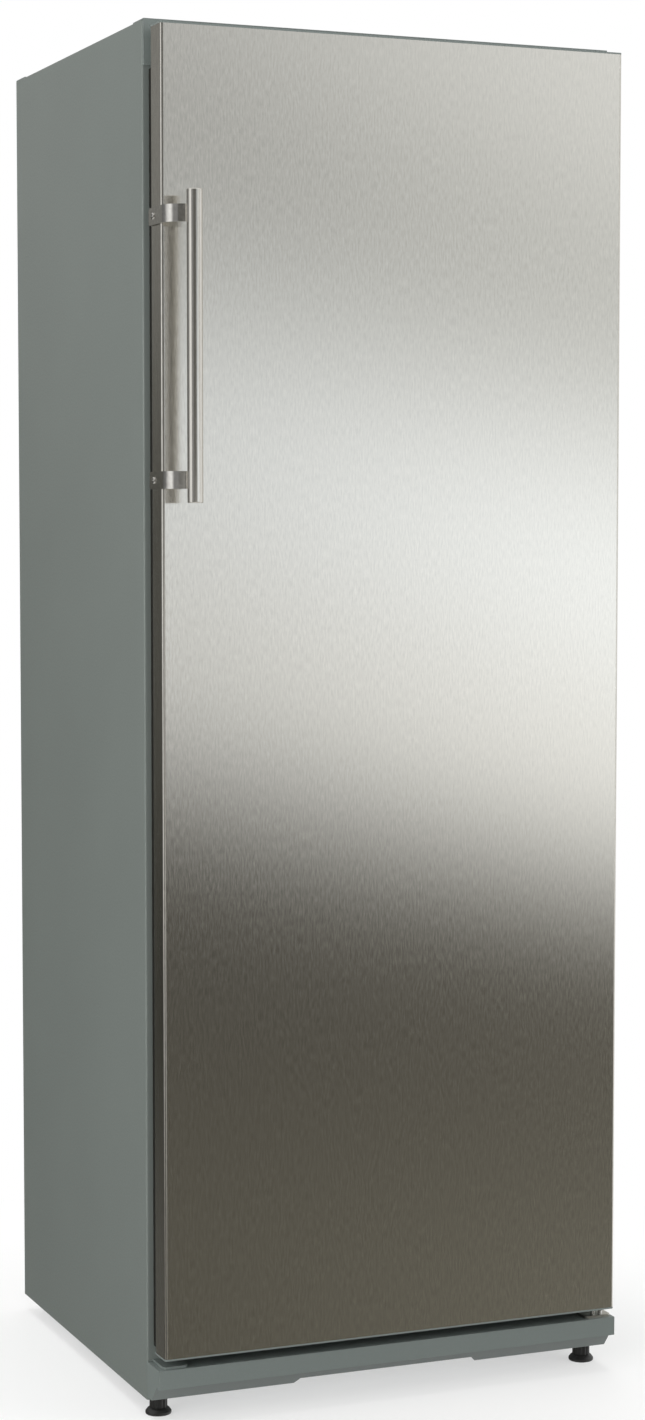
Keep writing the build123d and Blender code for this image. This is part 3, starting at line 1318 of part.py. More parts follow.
def cord_gland():
    """Flanged bush in the tab where the supply cord enters."""
    rear = TRAY_REAR_Y
    with BuildPart() as gland:
        with BuildSketch(at_depth(rear + GLAND_FLANGE)):
            with Locations((GLAND_X, GLAND_Z)):
                RegularPolygon(GLAND_NECK + GLAND_RIM, GLAND_SIDES)
        extrude(amount=GLAND_FLANGE)
        with BuildSketch(at_depth(rear)):
            with Locations((GLAND_X, GLAND_Z)):
                RegularPolygon(GLAND_NECK - RUNNING_FIT, GLAND_SIDES)
        extrude(amount=GLAND_LENGTH)
        with BuildSketch(at_depth(rear + GLAND_FLANGE)):
            with Locations((GLAND_X, GLAND_Z)):
                RegularPolygon(GLAND_BORE, GLAND_SIDES)
        extrude(amount=GLAND_FLANGE + GLAND_LENGTH, mode=Mode.SUBTRACT)
    save(gland, "cord_gland")


def compressor():
    """Sealed steel pot on a foot plate, with its terminal pad and two stubs."""
    base = TRAY_TOP_Z + GROMMET_HEIGHT
    low = base + FOOT_PLATE_SHEET
    seam = base + POT_SEAM_SHARE * COMPRESSOR_HEIGHT
    with BuildPart() as unit:
        with BuildSketch(Plane.XY.offset(low)):
            with Locations((COMPRESSOR_X, COMPRESSOR_Y)):
                RegularPolygon(COMPRESSOR_RADIUS, POT_SIDES)
        extrude(amount=seam - low)
        chamfer(unit.edges().group_by(Axis.Z)[0], length=POT_FOOT)
        with BuildSketch(Plane.XY.offset(seam)):
            with Locations((COMPRESSOR_X, COMPRESSOR_Y)):
                RegularPolygon(COMPRESSOR_RADIUS - POT_STEP, POT_SIDES)
        extrude(amount=base + COMPRESSOR_HEIGHT - seam)
        chamfer(unit.edges().group_by(Axis.Z)[-1], length=POT_SHOULDER)
        with BuildSketch(Plane.XY.offset(base)) as plate:
            with Locations((COMPRESSOR_X, COMPRESSOR_Y)):
                Rectangle(FOOT_PLATE_X, FOOT_PLATE_Y)
            chamfer(plate.vertices(), length=FOOT_PLATE_CORNER)
        extrude(amount=FOOT_PLATE_SHEET)
        with BuildSketch(side_view(PAD_X - PAD_RISE - PAD_SINK)):
            with Locations((COMPRESSOR_Y, RELAY_Z)):
                Rectangle(RELAY_WIDTH - 2 * PAD_MARGIN, RELAY_HEIGHT - 2 * PAD_MARGIN)
        extrude(amount=PAD_RISE + PAD_SINK)
        with BuildSketch(side_view(STUB_X)):
            with Locations((COMPRESSOR_Y, DISCHARGE_Z), (COMPRESSOR_Y, SUCTION_Z)):
                RegularPolygon(STUB_RADIUS, OCTAGON)
        extrude(amount=STUB_LENGTH)
    save(unit, "compressor")


def grommet_points():
    dx = FOOT_PLATE_X / 2 - GROMMET_INSET
    dy = FOOT_PLATE_Y / 2 - GROMMET_INSET
    corners = [(-dx, -dy), (-dx, dy), (dx, -dy), (dx, dy)]
    return [(COMPRESSOR_X + x, COMPRESSOR_Y + y) for x, y in corners]


def compressor_grommets():
    """Rubber mounts under the foot plate, and the bolt heads on top of it."""
    plate_top = TRAY_TOP_Z + GROMMET_HEIGHT + FOOT_PLATE_SHEET
    with BuildPart() as mounts:
        with BuildSketch(Plane.XY.offset(TRAY_TOP_Z)):
            with Locations(*grommet_points()):
                RegularPolygon(GROMMET_RADIUS, OCTAGON)
        extrude(amount=GROMMET_HEIGHT)
        with BuildSketch(Plane.XY.offset(plate_top)):
            with Locations(*grommet_points()):
                RegularPolygon(BOLT_HEAD, 6)
        extrude(amount=BOLT_HEAD_HEIGHT)
    save(mounts, "compressor_grommets")


def relay_cover():
    with BuildPart() as cover:
        with BuildSketch(side_view(PAD_X)) as face:
            with Locations((COMPRESSOR_Y, RELAY_Z)):
                Rectangle(RELAY_WIDTH, RELAY_HEIGHT)
            chamfer(face.vertices(), length=RELAY_CORNER)
        extrude(amount=RELAY_DEPTH)
        chamfer(cover.faces().sort_by(Axis.X)[-1].edges(), length=RELAY_CHAMFER)
    save(cover, "relay_cover")


def filter_drier():
    """Copper shell, drawn in at both ends to a neck."""
    middle_z = DRIER_TOP_Z - DRIER_LENGTH / 2
    with BuildPart() as drier:
        with BuildSketch(Plane.XY.offset(middle_z)):
            with Locations((DRIER_X, DRIER_Y)):
                RegularPolygon(DRIER_RADIUS, DRIER_SIDES)
        extrude(amount=DRIER_LENGTH / 2 - DRIER_NECK_LENGTH, both=True)
        ends = drier.faces().filter_by(Axis.Z)
        chamfer(ends.edges(), length=DRIER_SHOULDER)
        with BuildSketch(Plane.XY.offset(middle_z)):
            with Locations((DRIER_X, DRIER_Y)):
                RegularPolygon(DRIER_NECK, DRIER_SIDES)
        extrude(amount=DRIER_LENGTH / 2, both=True)
    save(drier, "filter_drier")


def refrigerant_pipes():
    wall = FRONT_Y + BAY_FRONT + SHEET
    discharge = [
        (STUB_X, COMPRESSOR_Y, DISCHARGE_Z),
        (RISER_X, COMPRESSOR_Y, DISCHARGE_Z),
        (RISER_X, COND_Y, DISCHARGE_Z),
        (RISER_X, COND_Y, COND_HIGH_Z),
        (-COND_HALF_WIDTH, COND_Y, COND_HIGH_Z),
    ]
    liquid = [
        (COND_TAIL_X, COND_Y, COND_LOW_Z - COND_TAIL),
        (COND_TAIL_X, COND_Y, DRIER_TOP_Z + DRIER_PIPE_ABOVE),
        (DRIER_X, DRIER_Y, DRIER_TOP_Z + DRIER_PIPE_ABOVE),
        (DRIER_X, DRIER_Y, DRIER_TOP_Z),
    ]
    outlet_z = DRIER_TOP_Z - DRIER_LENGTH
    capillary = [
        (DRIER_X, DRIER_Y, outlet_z),
        (DRIER_X, DRIER_Y, outlet_z - DRIER_PIPE_BELOW),
        (DRIER_X, wall, outlet_z - DRIER_PIPE_BELOW),
    ]
    suction = [
        (STUB_X, COMPRESSOR_Y, SUCTION_Z),
        (SUCTION_X, COMPRESSOR_Y, SUCTION_Z),
        (SUCTION_X, wall, SUCTION_Z),
    ]
    with BuildPart() as pipes:
        add(hexagon_tube(discharge, PIPE_CUT, COND_TUBE, (0, 0, 1)))
        add(hexagon_tube(liquid, LIQUID_CUT, COND_TUBE, (0, 1, 0)))
        add(hexagon_tube(capillary, CAPILLARY_CUT, CAPILLARY, (0, 1, 0)))
        add(hexagon_tube(suction, PIPE_CUT, SUCTION_TUBE, (0, 0, 1)))
    save(pipes, "refrigerant_pipes")


# ------------------------------------------------------------- rear condenser
def condenser_coil():
    left = -COND_HALF_WIDTH
    right = COND_HALF_WIDTH
    points = [
        (COND_TAIL_X, COND_Y, COND_LOW_Z - COND_TAIL),
        (COND_TAIL_X, COND_Y, COND_LOW_Z),
    ]
    for run in range(COND_RUNS):
        z = COND_LOW_Z + run * COND_PITCH
        near, far = (left, right) if run % 2 == 0 else (right, left)
        if run > 0:
            points.append((near, COND_Y, z))
        points.append((far, COND_Y, z))
    with BuildPart() as coil:
        add(hexagon_tube(points, COND_CUT, COND_TUBE, (0, 1, 0)))
    save(coil, "condenser_coil")


def condenser_wires():
    low = COND_LOW_Z - COND_WIRE_REACH
    high = COND_HIGH_Z + COND_WIRE_REACH
    outermost = COND_HALF_WIDTH - COND_CUT - COND_EDGE_GAP
    step = 2 * outermost / (COND_WIRES - 1)
    reach = (COND_TUBE + COND_WIRE) / 2
    spots = []
    for index in range(COND_WIRES):
        x = -outermost + index * step
        spots.append((x, COND_Y + reach))
        spots.append((x, COND_Y - reach))
    with BuildPart() as wires:
        with BuildSketch(Plane.XY.offset(low)):
            with Locations(*spots):
                Rectangle(COND_WIRE, COND_WIRE)
        extrude(amount=high - low)
    save(wires, "condenser_wires")


def condenser_clips():
    """Stand-offs between the back panel and the wire grid."""
    reach = COND_Y - COND_TUBE / 2 - COND_WIRE - BACK_PANEL_Y
    levels = [COND_LOW_Z + run * COND_PITCH for run in CLIP_RUNS]
    spots = [(x, z) for x in (-CLIP_X, CLIP_X) for z in levels]
    with BuildPart() as clips:
        with BuildSketch(at_depth(BACK_PANEL_Y)):
            with Locations(*spots):
                Rectangle(CLIP_WIDTH + 2 * CLIP_FOOT_RIM, CLIP_WIDTH)
        extrude(amount=-CLIP_FOOT)
        with BuildSketch(at_depth(BACK_PANEL_Y + CLIP_FOOT)):
            with Locations(*spots):
                Rectangle(CLIP_WIDTH, CLIP_WIDTH - CLIP_FOOT_RIM)
        extrude(amount=-(reach - CLIP_FOOT), taper=CLIP_TAPER)
    save(clips, "condenser_clips")


# ------------------------------------------------------------------ evaporator
def evaporator_coil(name, level):
    """Serpentine tube of one shelf; both ends run to the liner's rear wall."""
    z = drawer_floor_z(level) - EVAP_WIRE - EVAP_TUBE / 2
    front = FRONT_Y + EVAP_FRONT
    rear = FRONT_Y + CAVITY_DEPTH
    points = [(-EVAP_RETURN_X, rear, z), (-EVAP_RETURN_X, front, z)]
    for run in range(EVAP_RUNS - 1):
        y = front + run * EVAP_PITCH
        edge = EVAP_RIGHT_X if run % 2 == 0 else -EVAP_LEFT_X
        points.append((edge, y, z))
        points.append((edge, y + EVAP_PITCH, z))
    points.append((-EVAP_LEFT_X, front + (EVAP_RUNS - 1) * EVAP_PITCH, z))
    points.append((-EVAP_LEFT_X, rear, z))
    with BuildPart() as coil:
        add(hexagon_tube(points, EVAP_CUT, EVAP_TUBE, (0, 0, 1)))
    save(coil, name)


def evaporator_wires():
    outermost = DRAWER_HALF_WIDTH - EVAP_WIRE_INSET
    step = 2 * outermost / (EVAP_WIRES - 1)
    start = FRONT_Y + EVAP_FRONT - EVAP_TUBE
    length = (EVAP_RUNS - 1) * EVAP_PITCH + 2 * EVAP_TUBE
    with BuildPart() as wires:
        for level in range(1, DRAWER_COUNT + 1):
            middle = drawer_floor_z(level) - EVAP_WIRE / 2
            with BuildSketch(at_depth(start)):
                with Locations(*((-outermost + i * step, middle) for i in range(EVAP_WIRES))):
                    Rectangle(EVAP_WIRE, EVAP_WIRE)
            extrude(amount=-length)
    save(wires, "evaporator_wires")


# --------------------------------------------------------------------- drawers
def tub_plan(half, front, rear, z):
    with BuildSketch(Plane.XY.offset(z)) as plan:
        with Locations((0, (front + rear) / 2)):
            Rectangle(2 * half, rear - front)
        chamfer(plan.vertices(), length=DRAWER_CORNER)
    return plan.sketch


def tub_form(half, front, rear, low, high, narrowing):
    with BuildPart() as form:
        upper = tub_plan(half, front, rear, high)
        lower = tub_plan(half - narrowing, front, rear - narrowing, low)
        loft([upper, lower], ruled=True)
    return form.part


def drawer(name, level, depth):
    low = drawer_floor_z(level) + DRAWER_LIFT
    high = low + DRAWER_HEIGHT
    lip = FRONT_Y + DRAWER_FRONT
    plate = lip + DRAWER_GRIP
    rear = lip + depth
    half = DRAWER_HALF_WIDTH
    wall = DRAWER_WALL
    ends = (-half, half - wall)
    with BuildPart() as tub:
        add(tub_form(half, plate, rear, low, high, DRAWER_TAPER))
        add(
            tub_form(half - wall, plate + wall, rear - wall, low + wall, high, DRAWER_TAPER),
            mode=Mode.SUBTRACT,
        )
        with BuildSketch(at_depth(plate)):
            with BuildLine():
                Polyline(
                    (-half, high),
                    (half, high),
                    (half - DRAWER_TAPER, low),
                    (DRAWER_TAPER - half, low),
                    close=True,
                )
            make_face()
        extrude(amount=-wall)
        with BuildSketch(side_view(-half)):
            with BuildLine():
                Polyline(
                    (plate, high),
                    (lip, high),
                    (lip, high - DRAWER_GRIP_HEIGHT),
                    (lip + wall, high - DRAWER_GRIP_HEIGHT),
                    (lip + wall, high - wall),
                    (plate, high - wall),
                    close=True,
                )
            make_face()
        extrude(amount=2 * half)
        for x in ends:
            with BuildSketch(side_view(x)):
                with BuildLine():
                    Polyline(
                        (plate, high),
                        (lip, high),
                        (lip, high - DRAWER_GRIP_HEIGHT),
                        (plate, high - DRAWER_GRIP_HEIGHT - DRAWER_GRIP),
                        close=True,
                    )
                make_face()
            extrude(amount=wall)
    save(tub, name)


# ----------------------------------------------------------------------- parts
os.makedirs("parts", exist_ok=True)
side_panel("left_side_panel", -1)
side_panel("right_side_panel", 1)
top_panel()
back_panel()
front_frame_rails()
base_panel()
front_crossbar()
inner_liner()
insulation_foam()
door_skin()
end_cap("door_top_cap", DOOR_TOP_Z, -1, TOP_PLUG)
end_cap("door_bottom_cap", DOOR_BOTTOM_Z, 1, CAP_PLUG)
hinge_bushes()
door_gasket()
gasket_magnets()
door_inner_liner()
door_foam()
handle_bar()
handle_brackets()
handle_screws()
door_side_plugs()
upper_hinge_bracket()
lower_hinge_bracket()
hinge_pins()
hinge_screws()
front_top_trim()
rear_top_trim()
control_housing()
thermostat_knob()
fast_freeze_switch()
indicator_lenses()
plinth()
hinge_blank_plate()
levelling_foot("foot_left", -1)
levelling_foot("foot_right", 1)
roller("roller_left", -1)
roller("roller_right", 1)
compressor_tray()
cord_gland()
compressor()
compressor_grommets()
relay_cover()
filter_drier()
refrigerant_pipes()
condenser_coil()
condenser_wires()
condenser_clips()
for number in range(1, DRAWER_COUNT + 1):
    evaporator_coil(f"evaporator_coil_{number}", number)
    drawer(f"drawer_{number}", number - 1, DRAWER_DEPTH if number > 1 else LOW_DRAWER_DEPTH)
evaporator_wires()
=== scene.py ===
import math

import bmesh
import bpy
from bpy.props import FloatProperty, FloatVectorProperty, IntProperty, PointerProperty
from mathutils import Matrix, Vector


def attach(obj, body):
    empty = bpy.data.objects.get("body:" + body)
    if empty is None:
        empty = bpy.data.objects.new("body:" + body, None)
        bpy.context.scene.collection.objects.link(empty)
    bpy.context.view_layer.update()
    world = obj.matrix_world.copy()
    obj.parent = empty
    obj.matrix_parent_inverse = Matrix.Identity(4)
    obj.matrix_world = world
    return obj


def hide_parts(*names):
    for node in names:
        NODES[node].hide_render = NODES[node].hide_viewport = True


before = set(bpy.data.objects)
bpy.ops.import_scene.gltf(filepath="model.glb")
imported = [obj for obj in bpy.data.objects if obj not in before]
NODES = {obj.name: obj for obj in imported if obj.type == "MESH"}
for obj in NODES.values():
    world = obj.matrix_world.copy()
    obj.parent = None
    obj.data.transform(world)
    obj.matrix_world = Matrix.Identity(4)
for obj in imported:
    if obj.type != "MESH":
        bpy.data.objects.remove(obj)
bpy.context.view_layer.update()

bl_info = {
    "name": "Upright Freezer Dresser",
    "version": (1, 1, 0),
    "blender": (4, 5, 0),
    "location": "3D View > Sidebar > Freezer",
    "description": "Gives the packed freezer its finishes, small fittings and studio",
    "category": "Object",
}

MM = 0.001

# Places in millimetres, as in the part's source.
FRONT = -214.05  # cabinet's front flange
REAR = 290.95  # cabinet's rear flange
HALF_WIDTH = 300.0
PANEL_BOTTOM = 21.0
PANEL_TOP = 1628.0
PANEL_SHEET = 0.8
HANDLE_LEVELS = (1103.0, 1403.0)
HANDLE_X = -269.0
HANDLE_Y = -304.05
SIDE_SCREW_Y = -244.05
DIAL_X = -190.0
DIAL_Z = 1602.0
FOOT_X = 282.0
ROLLER_X = 255.0
ROLLER_RADIUS = 12.0
LINER_FLOOR = 130.0
SHELF_PITCH = 231.0
CONDENSER_Y = 308.95
COMPRESSOR_X = 40.0
COMPRESSOR_Y = 190.95
DRIER_X = -215.0
DRIER_Y = 250.95
DRIER_TOP = 215.0
BAY_WALL = 98.75  # front wall of the compressor space
SHELF_COUNT = 6

# Places and sizes of the studio's walls, in metres.
WALL_TOP = 6.0
WALL_REACH = 12.0
WALL_BANDS = 4.0  # the bands' tones are set within this height, up and down
LEVEL_PLACE = 3.9  # where a slanted band lies at its stated height


def hex_to_linear(text):
    """Turns an sRGB hex colour into the linear values that shaders take."""
    channels = [int(text[i:i + 2], 16) / 255 for i in (1, 3, 5)]
    return tuple(c / 12.92 if c <= 0.04045 else ((c + 0.055) / 1.055) ** 2.4 for c in channels)


def colour_property(name, text, description):
    return FloatVectorProperty(
        name=name, description=description, subtype="COLOR", size=3, min=0.0, max=1.0,
        default=hex_to_linear(text),
    )


def size_property(name, millimetres, description):
    return FloatProperty(
        name=name, description=description, subtype="DISTANCE", unit="LENGTH",
        min=0.0, default=millimetres * MM,
    )


# ---- settings
class FreezerFinishes(bpy.types.PropertyGroup):
    steel: colour_property("Door steel", "#d0cdc6", "Brushed stainless steel of the door")
    side: colour_property("Cabinet paint", "#7c837f", "Silver-grey paint of the cabinet shell")
    trim: colour_property("Trim", "#747c79", "Moulded plastic of plinth, trims and caps")
    liner: colour_property("Liner", "#e9ebe9", "Vacuum-formed inner liners")
    drawer: colour_property("Drawers", "#edf2f3", "Clear moulded drawers")
    # The seal's near-black colour is partly the rubber's own dark tone and partly painted shade of
    # the deep gap between door and cabinet.
    gasket: colour_property("Gasket", "#161510", "Door seal")
    grain_width: size_property("Grain width", 2.0, "Spacing of brush marks, coarser than real")
    grain_length: size_property("Grain length", 11.0, "Length of one brush mark")
    paint_ripple: size_property("Paint ripple", 2.4, "Size of the ripple in sprayed paint")
    plastic_grit: size_property("Plastic grit", 0.9, "Size of the grit in moulded plastic")


class FreezerFittings(bpy.types.PropertyGroup):
    condenser_tube: size_property("Condenser tube", 5.0, "Diameter of the rear tube")
    condenser_wire: size_property("Condenser wire", 1.6, "Diameter of the rear wires")
    condenser_wires: IntProperty(
        name="Condenser wires", description="Wires on each face", default=41
    )
    shelf_tube: size_property("Shelf tube", 6.4, "Diameter of the shelves' tube")
    shelf_wire: size_property("Shelf wire", 1.8, "Diameter of the shelves' wires")
    shelf_wires: IntProperty(name="Shelf wires", description="Wires on each shelf", default=25)
    bend: size_property("Tube bend", 30.0, "Radius of the serpentine's bends")
    pot_radius: size_property("Compressor", 74.0, "Radius of the compressor's pot")
    foot_radius: size_property("Foot", 15.5, "Radius of the screw feet")
    fold: size_property("Fold", 2.2, "Outside radius of the side panels' folds")
    screw_head: size_property("Screw head", 4.0, "Radius of a screw's head")
    dial_ticks: IntProperty(name="Dial ticks", description="Ticks round the thermostat", default=11)


class FreezerStudio(bpy.types.PropertyGroup):
    floor: colour_property("Floor", "#a6a6a4", "Paper floor, as the object is lit by it")
    floor_shadow: FloatProperty(
        name="Floor shadow", description="How much of the shadow shows on the white floor",
        subtype="FACTOR", min=0.0, max=1.0, default=0.5,
    )
    floor_reach: size_property("Floor reach", 3200.0, "Floor's reach to every side")
    front_wall: FloatProperty(name="Front wall", description="Its brightest light", default=2.1)
    side_walls: FloatProperty(
        name="Front side walls", description="Their brightest light", default=1.0
    )
    left_wall: FloatProperty(name="Left wall", description="Its brightest light", default=1.3)
    rear_wall: FloatProperty(name="Rear wall", description="Its brightest light", default=1.1)
    camera_x: size_property("Camera left", 1377.2, "Camera to the left of the middle")
    camera_y: size_property("Camera distance", 3348.2, "Camera in front of the middle")
    camera_z: size_property("Camera height", 1059.0, "Camera above the floor")
    camera_yaw: FloatProperty(
        name="Camera yaw", description="Turn to the right", subtype="ANGLE",
        default=math.radians(22.545),
    )
    camera_pitch: FloatProperty(
        name="Camera pitch", description="Tilt upward", subtype="ANGLE",
        default=math.radians(-3.831),
    )
    lens: FloatProperty(name="Lens", description="Focal length in mm", default=72.36)


# ---- helpers
def add_node(tree, kind, inputs=None, links=None, stops=None, feeds=None, **settings):
    """Adds a node: its settings, socket values, ramp stops, and the sockets
    that it takes from and feeds."""
    made = tree.nodes.new(kind)
    for name, value in settings.items():
        setattr(made, name, value)
    for name, value in (inputs or {}).items():
        made.inputs[name].default_value = value
    for name, socket in (links or {}).items():
        tree.links.new(socket, made.inputs[name])
    if stops:
        elements = made.color_ramp.elements
        while len(elements) < len(stops):
            elements.new(0.5)
        for element, (position, colour) in zip(elements, stops):
            element.position = position
            element.color = colour
    for name, socket in (feeds or {}).items():
        tree.links.new(made.outputs[name], socket)
    return made


def shade(colour, factor=1.0):
    """A lighter or darker shade of a colour, with full alpha."""
    return (*(min(1.0, c * factor) for c in colour), 1.0)


def new_material(name, **shader_values):
    """A material with one Principled shader: itself, the tree to build on,
    the shader, and the object's own coordinates in metres."""
    material = bpy.data.materials.new(name)
    material.use_nodes = True
    tree = material.node_tree
    shader = tree.nodes["Principled BSDF"]
    for socket, value in shader_values.items():
        shader.inputs[socket.replace("_", " ")].default_value = value
    place = add_node(tree, "ShaderNodeTexCoord").outputs["Object"]
    return material, tree, shader, place


def dress(names, material):
    """Gives the CAD nodes one material."""
    for name in names:
        slots = NODES[name].data.materials
        slots.clear()
        slots.append(material)


# ---- materials
def vary(tree, shader, value, colour, shades, roughness, span=(0.3, 0.7)):
    """Lets a pattern's value move the colour between two of its shades, and
    the roughness between two values, over the span that the pattern fills."""
    low, high = span
    add_node(
        tree, "ShaderNodeValToRGB", links={"Fac": value},
        stops=[(low, shade(colour, shades[0])), (high, shade(colour, shades[1]))],
        feeds={"Color": shader.inputs["Base Color"]},
    )
    add_node(
        tree, "ShaderNodeMapRange",
        {"From Min": low, "From Max": high, "To Min": roughness[0], "To Max": roughness[1]},
        {"Value": value}, feeds={"Result": shader.inputs["Roughness"]},
    )


def brushed_stainless(name, colour, width, length, roughness):
    """Stainless steel, belt-brushed up and down: reflections spread sideways,
    and the belt's short marks break them up."""
    # Real marks are some 0.2 mm wide, finer than a pixel. They are drawn 2 mm
    # wide on the door, and 0.8 mm on its bar, so that they show.
    material, tree, shader, place = new_material(
        name, Metallic=1.0, Anisotropic=0.88, Anisotropic_Rotation=0.25
    )
    belt = add_node(
        tree, "ShaderNodeMapping", {"Scale": (1 / width, 1 / width, 1 / length)},
        {"Vector": place},
    )
    marks = add_node(
        tree, "ShaderNodeTexNoise", {"Scale": 1.0, "Detail": 2.0, "Roughness": 0.6},
        {"Vector": belt.outputs["Vector"]},
    )
    vary(
        tree, shader, marks.outputs["Fac"], colour, (0.9, 1.06),
        (roughness - 0.01, roughness + 0.03),
    )
    add_node(
        tree, "ShaderNodeBump", {"Strength": 0.03, "Distance": 0.05 * MM},
        {"Height": marks.outputs["Fac"]}, feeds={"Normal": shader.inputs["Normal"]},
    )
    add_node(
        tree, "ShaderNodeCombineXYZ", {"Z": 1.0}, feeds={"Vector": shader.inputs["Tangent"]}
    )
    return material


def sprayed_silver_paint(name, colour, ripple):
    """Steel sheet sprayed with silver-grey paint: a satin sheen from the
    flakes, a faint ripple, and slow clouds where the spray lay thicker."""
    # The spray's passes lie about 140 mm apart.
    material, tree, shader, place = new_material(
        name, Metallic=0.2, IOR=1.5, Coat_Weight=0.12, Coat_Roughness=0.3
    )
    clouds = add_node(
        tree, "ShaderNodeTexNoise", {"Scale": 1 / (140 * MM), "Detail": 3.0},
        {"Vector": place},
    )
    ripples = add_node(
        tree, "ShaderNodeTexNoise", {"Scale": 1 / ripple, "Detail": 2.0},
        {"Vector": place},
    )
    add_node(
        tree, "ShaderNodeValToRGB", links={"Fac": clouds.outputs["Fac"]},
        stops=[(0.3, shade(colour, 0.98)), (0.7, shade(colour, 1.02))],
        feeds={"Color": shader.inputs["Base Color"]},
    )
    add_node(
        tree, "ShaderNodeMapRange",
        {"From Min": 0.3, "From Max": 0.7, "To Min": 0.36, "To Max": 0.46},
        {"Value": ripples.outputs["Fac"]}, feeds={"Result": shader.inputs["Roughness"]},
    )
    add_node(
        tree, "ShaderNodeBump", {"Strength": 0.12, "Distance": 0.2 * MM},
        {"Height": ripples.outputs["Fac"]}, feeds={"Normal": shader.inputs["Normal"]},
    )
    return material


def moulded_plastic(name, colour, grit, roughness=0.42):
    """Injection-moulded ABS, nylon or polyamide with the fine grit of an
    eroded tool, which breaks up the highlight."""
    # A real tool's grit is 0.1 to 0.3 mm. It is drawn as 0.6 to 1.2 mm.
    material, tree, shader, place = new_material(name, IOR=1.53)
    grains = add_node(
        tree, "ShaderNodeTexNoise", {"Scale": 1 / grit, "Detail": 3.0},
        {"Vector": place},
    )
    vary(
        tree, shader, grains.outputs["Fac"], colour, (0.94, 1.05),
        (roughness - 0.05, roughness + 0.06),
    )
    add_node(
        tree, "ShaderNodeBump", {"Strength": 0.25, "Distance": 0.15 * MM},
        {"Height": grains.outputs["Fac"]}, feeds={"Normal": shader.inputs["Normal"]},
    )
    return material


def vacuum_formed_liner(name, colour):
    """Polystyrene sheet drawn over a mould: satin white, a little duller
    where it stretched, with the mould's fine texture on it."""
    # The stretch changes over some 90 mm. The texture's 0.3 mm is drawn as 1.2.
    material, tree, shader, place = new_material(name, IOR=1.57)
    waves = add_node(
        tree, "ShaderNodeTexNoise", {"Scale": 1 / (90 * MM), "Detail": 0.0},
        {"Vector": place},
    )
    vary(tree, shader, waves.outputs["Fac"], colour, (0.98, 1.0), (0.42, 0.47), (0.2, 0.8))
    grit = add_node(
        tree, "ShaderNodeTexNoise", {"Scale": 1 / (1.2 * MM), "Detail": 1.0},
        {"Vector": place},
    )
    add_node(
        tree, "ShaderNodeBump", {"Strength": 0.05, "Distance": 0.05 * MM},
        {"Height": grit.outputs["Fac"]}, feeds={"Normal": shader.inputs["Normal"]},
    )
    return material


def clear_polystyrene(name, colour):
    """Moulded clear polystyrene: see-through and glossy, slightly milky,
    with flow marks about 20 mm apart."""
    material, tree, shader, place = new_material(name, IOR=1.57, Transmission_Weight=0.4)
    flow = add_node(
        tree, "ShaderNodeTexNoise", {"Scale": 1 / (20 * MM), "Detail": 2.0},
        {"Vector": place},
    )
    vary(tree, shader, flow.outputs["Fac"], colour, (0.95, 1.0), (0.12, 0.24))
    return material


def galvanised_sheet(name, colour):
    """Hot-dip galvanised steel sheet: a spangle of crystals about 12 mm
    across, each a slightly different grey and gloss."""
    material, tree, shader, place = new_material(name, Metallic=0.9)
    crystals = add_node(
        tree, "ShaderNodeTexVoronoi", {"Scale": 1 / (12 * MM)}, {"Vector": place}
    )
    tone = add_node(tree, "ShaderNodeSeparateColor", links={"Color": crystals.outputs["Color"]})
    vary(tree, shader, tone.outputs["Red"], colour, (0.86, 1.08), (0.4, 0.56), (0.0, 1.0))
    return material


def bright_steel(name, colour, cloud, low, high):
    """Pressed or turned steel, zinc plated or polished: bright, with faint
    clouds from handling, a few millimetres across."""
    material, tree, shader, place = new_material(name, Metallic=1.0)
    clouds = add_node(
        tree, "ShaderNodeTexNoise", {"Scale": 1 / cloud, "Detail": 3.0},
        {"Vector": place},
    )
    vary(tree, shader, clouds.outputs["Fac"], colour, (0.9, 1.05), (low, high))
    return material


def dipped_enamel(name, colour, roughness):
    """Enamel paint over steel, dipped or sprayed: glossy, with a soft
    orange peel about 3 mm from crest to crest."""
    material, tree, shader, place = new_material(name, IOR=1.5)
    peel = add_node(
        tree, "ShaderNodeTexNoise", {"Scale": 1 / (3 * MM), "Detail": 2.0},
        {"Vector": place},
    )
    vary(
        tree, shader, peel.outputs["Fac"], colour, (0.85, 1.1),
        (roughness - 0.05, roughness + 0.08),
    )
    add_node(
        tree, "ShaderNodeBump", {"Strength": 0.2, "Distance": 0.3 * MM},
        {"Height": peel.outputs["Fac"]}, feeds={"Normal": shader.inputs["Normal"]},
    )
    return material


def soft_rubber(name, colour):
    """Extruded or moulded rubber: matt, with a dusty bloom in patches of
    about 8 mm."""
    material, tree, shader, place = new_material(name, IOR=1.52, Specular_IOR_Level=0.25)
    bloom = add_node(
        tree, "ShaderNodeTexNoise", {"Scale": 1 / (8 * MM), "Detail": 4.0},
        {"Vector": place},
    )
    vary(tree, shader, bloom.outputs["Fac"], colour, (0.88, 1.1), (0.55, 0.72))
    return material


def drawn_copper(name, colour):
    """Drawn copper tube, browned where it was brazed and handled, in
    patches of about 18 mm."""
    material, tree, shader, place = new_material(name, Metallic=1.0)
    tarnish = add_node(
        tree, "ShaderNodeTexNoise", {"Scale": 1 / (18 * MM), "Detail": 4.0},
        {"Vector": place},
    )
    vary(tree, shader, tarnish.outputs["Fac"], colour, (0.6, 1.05), (0.46, 0.26))
    return material


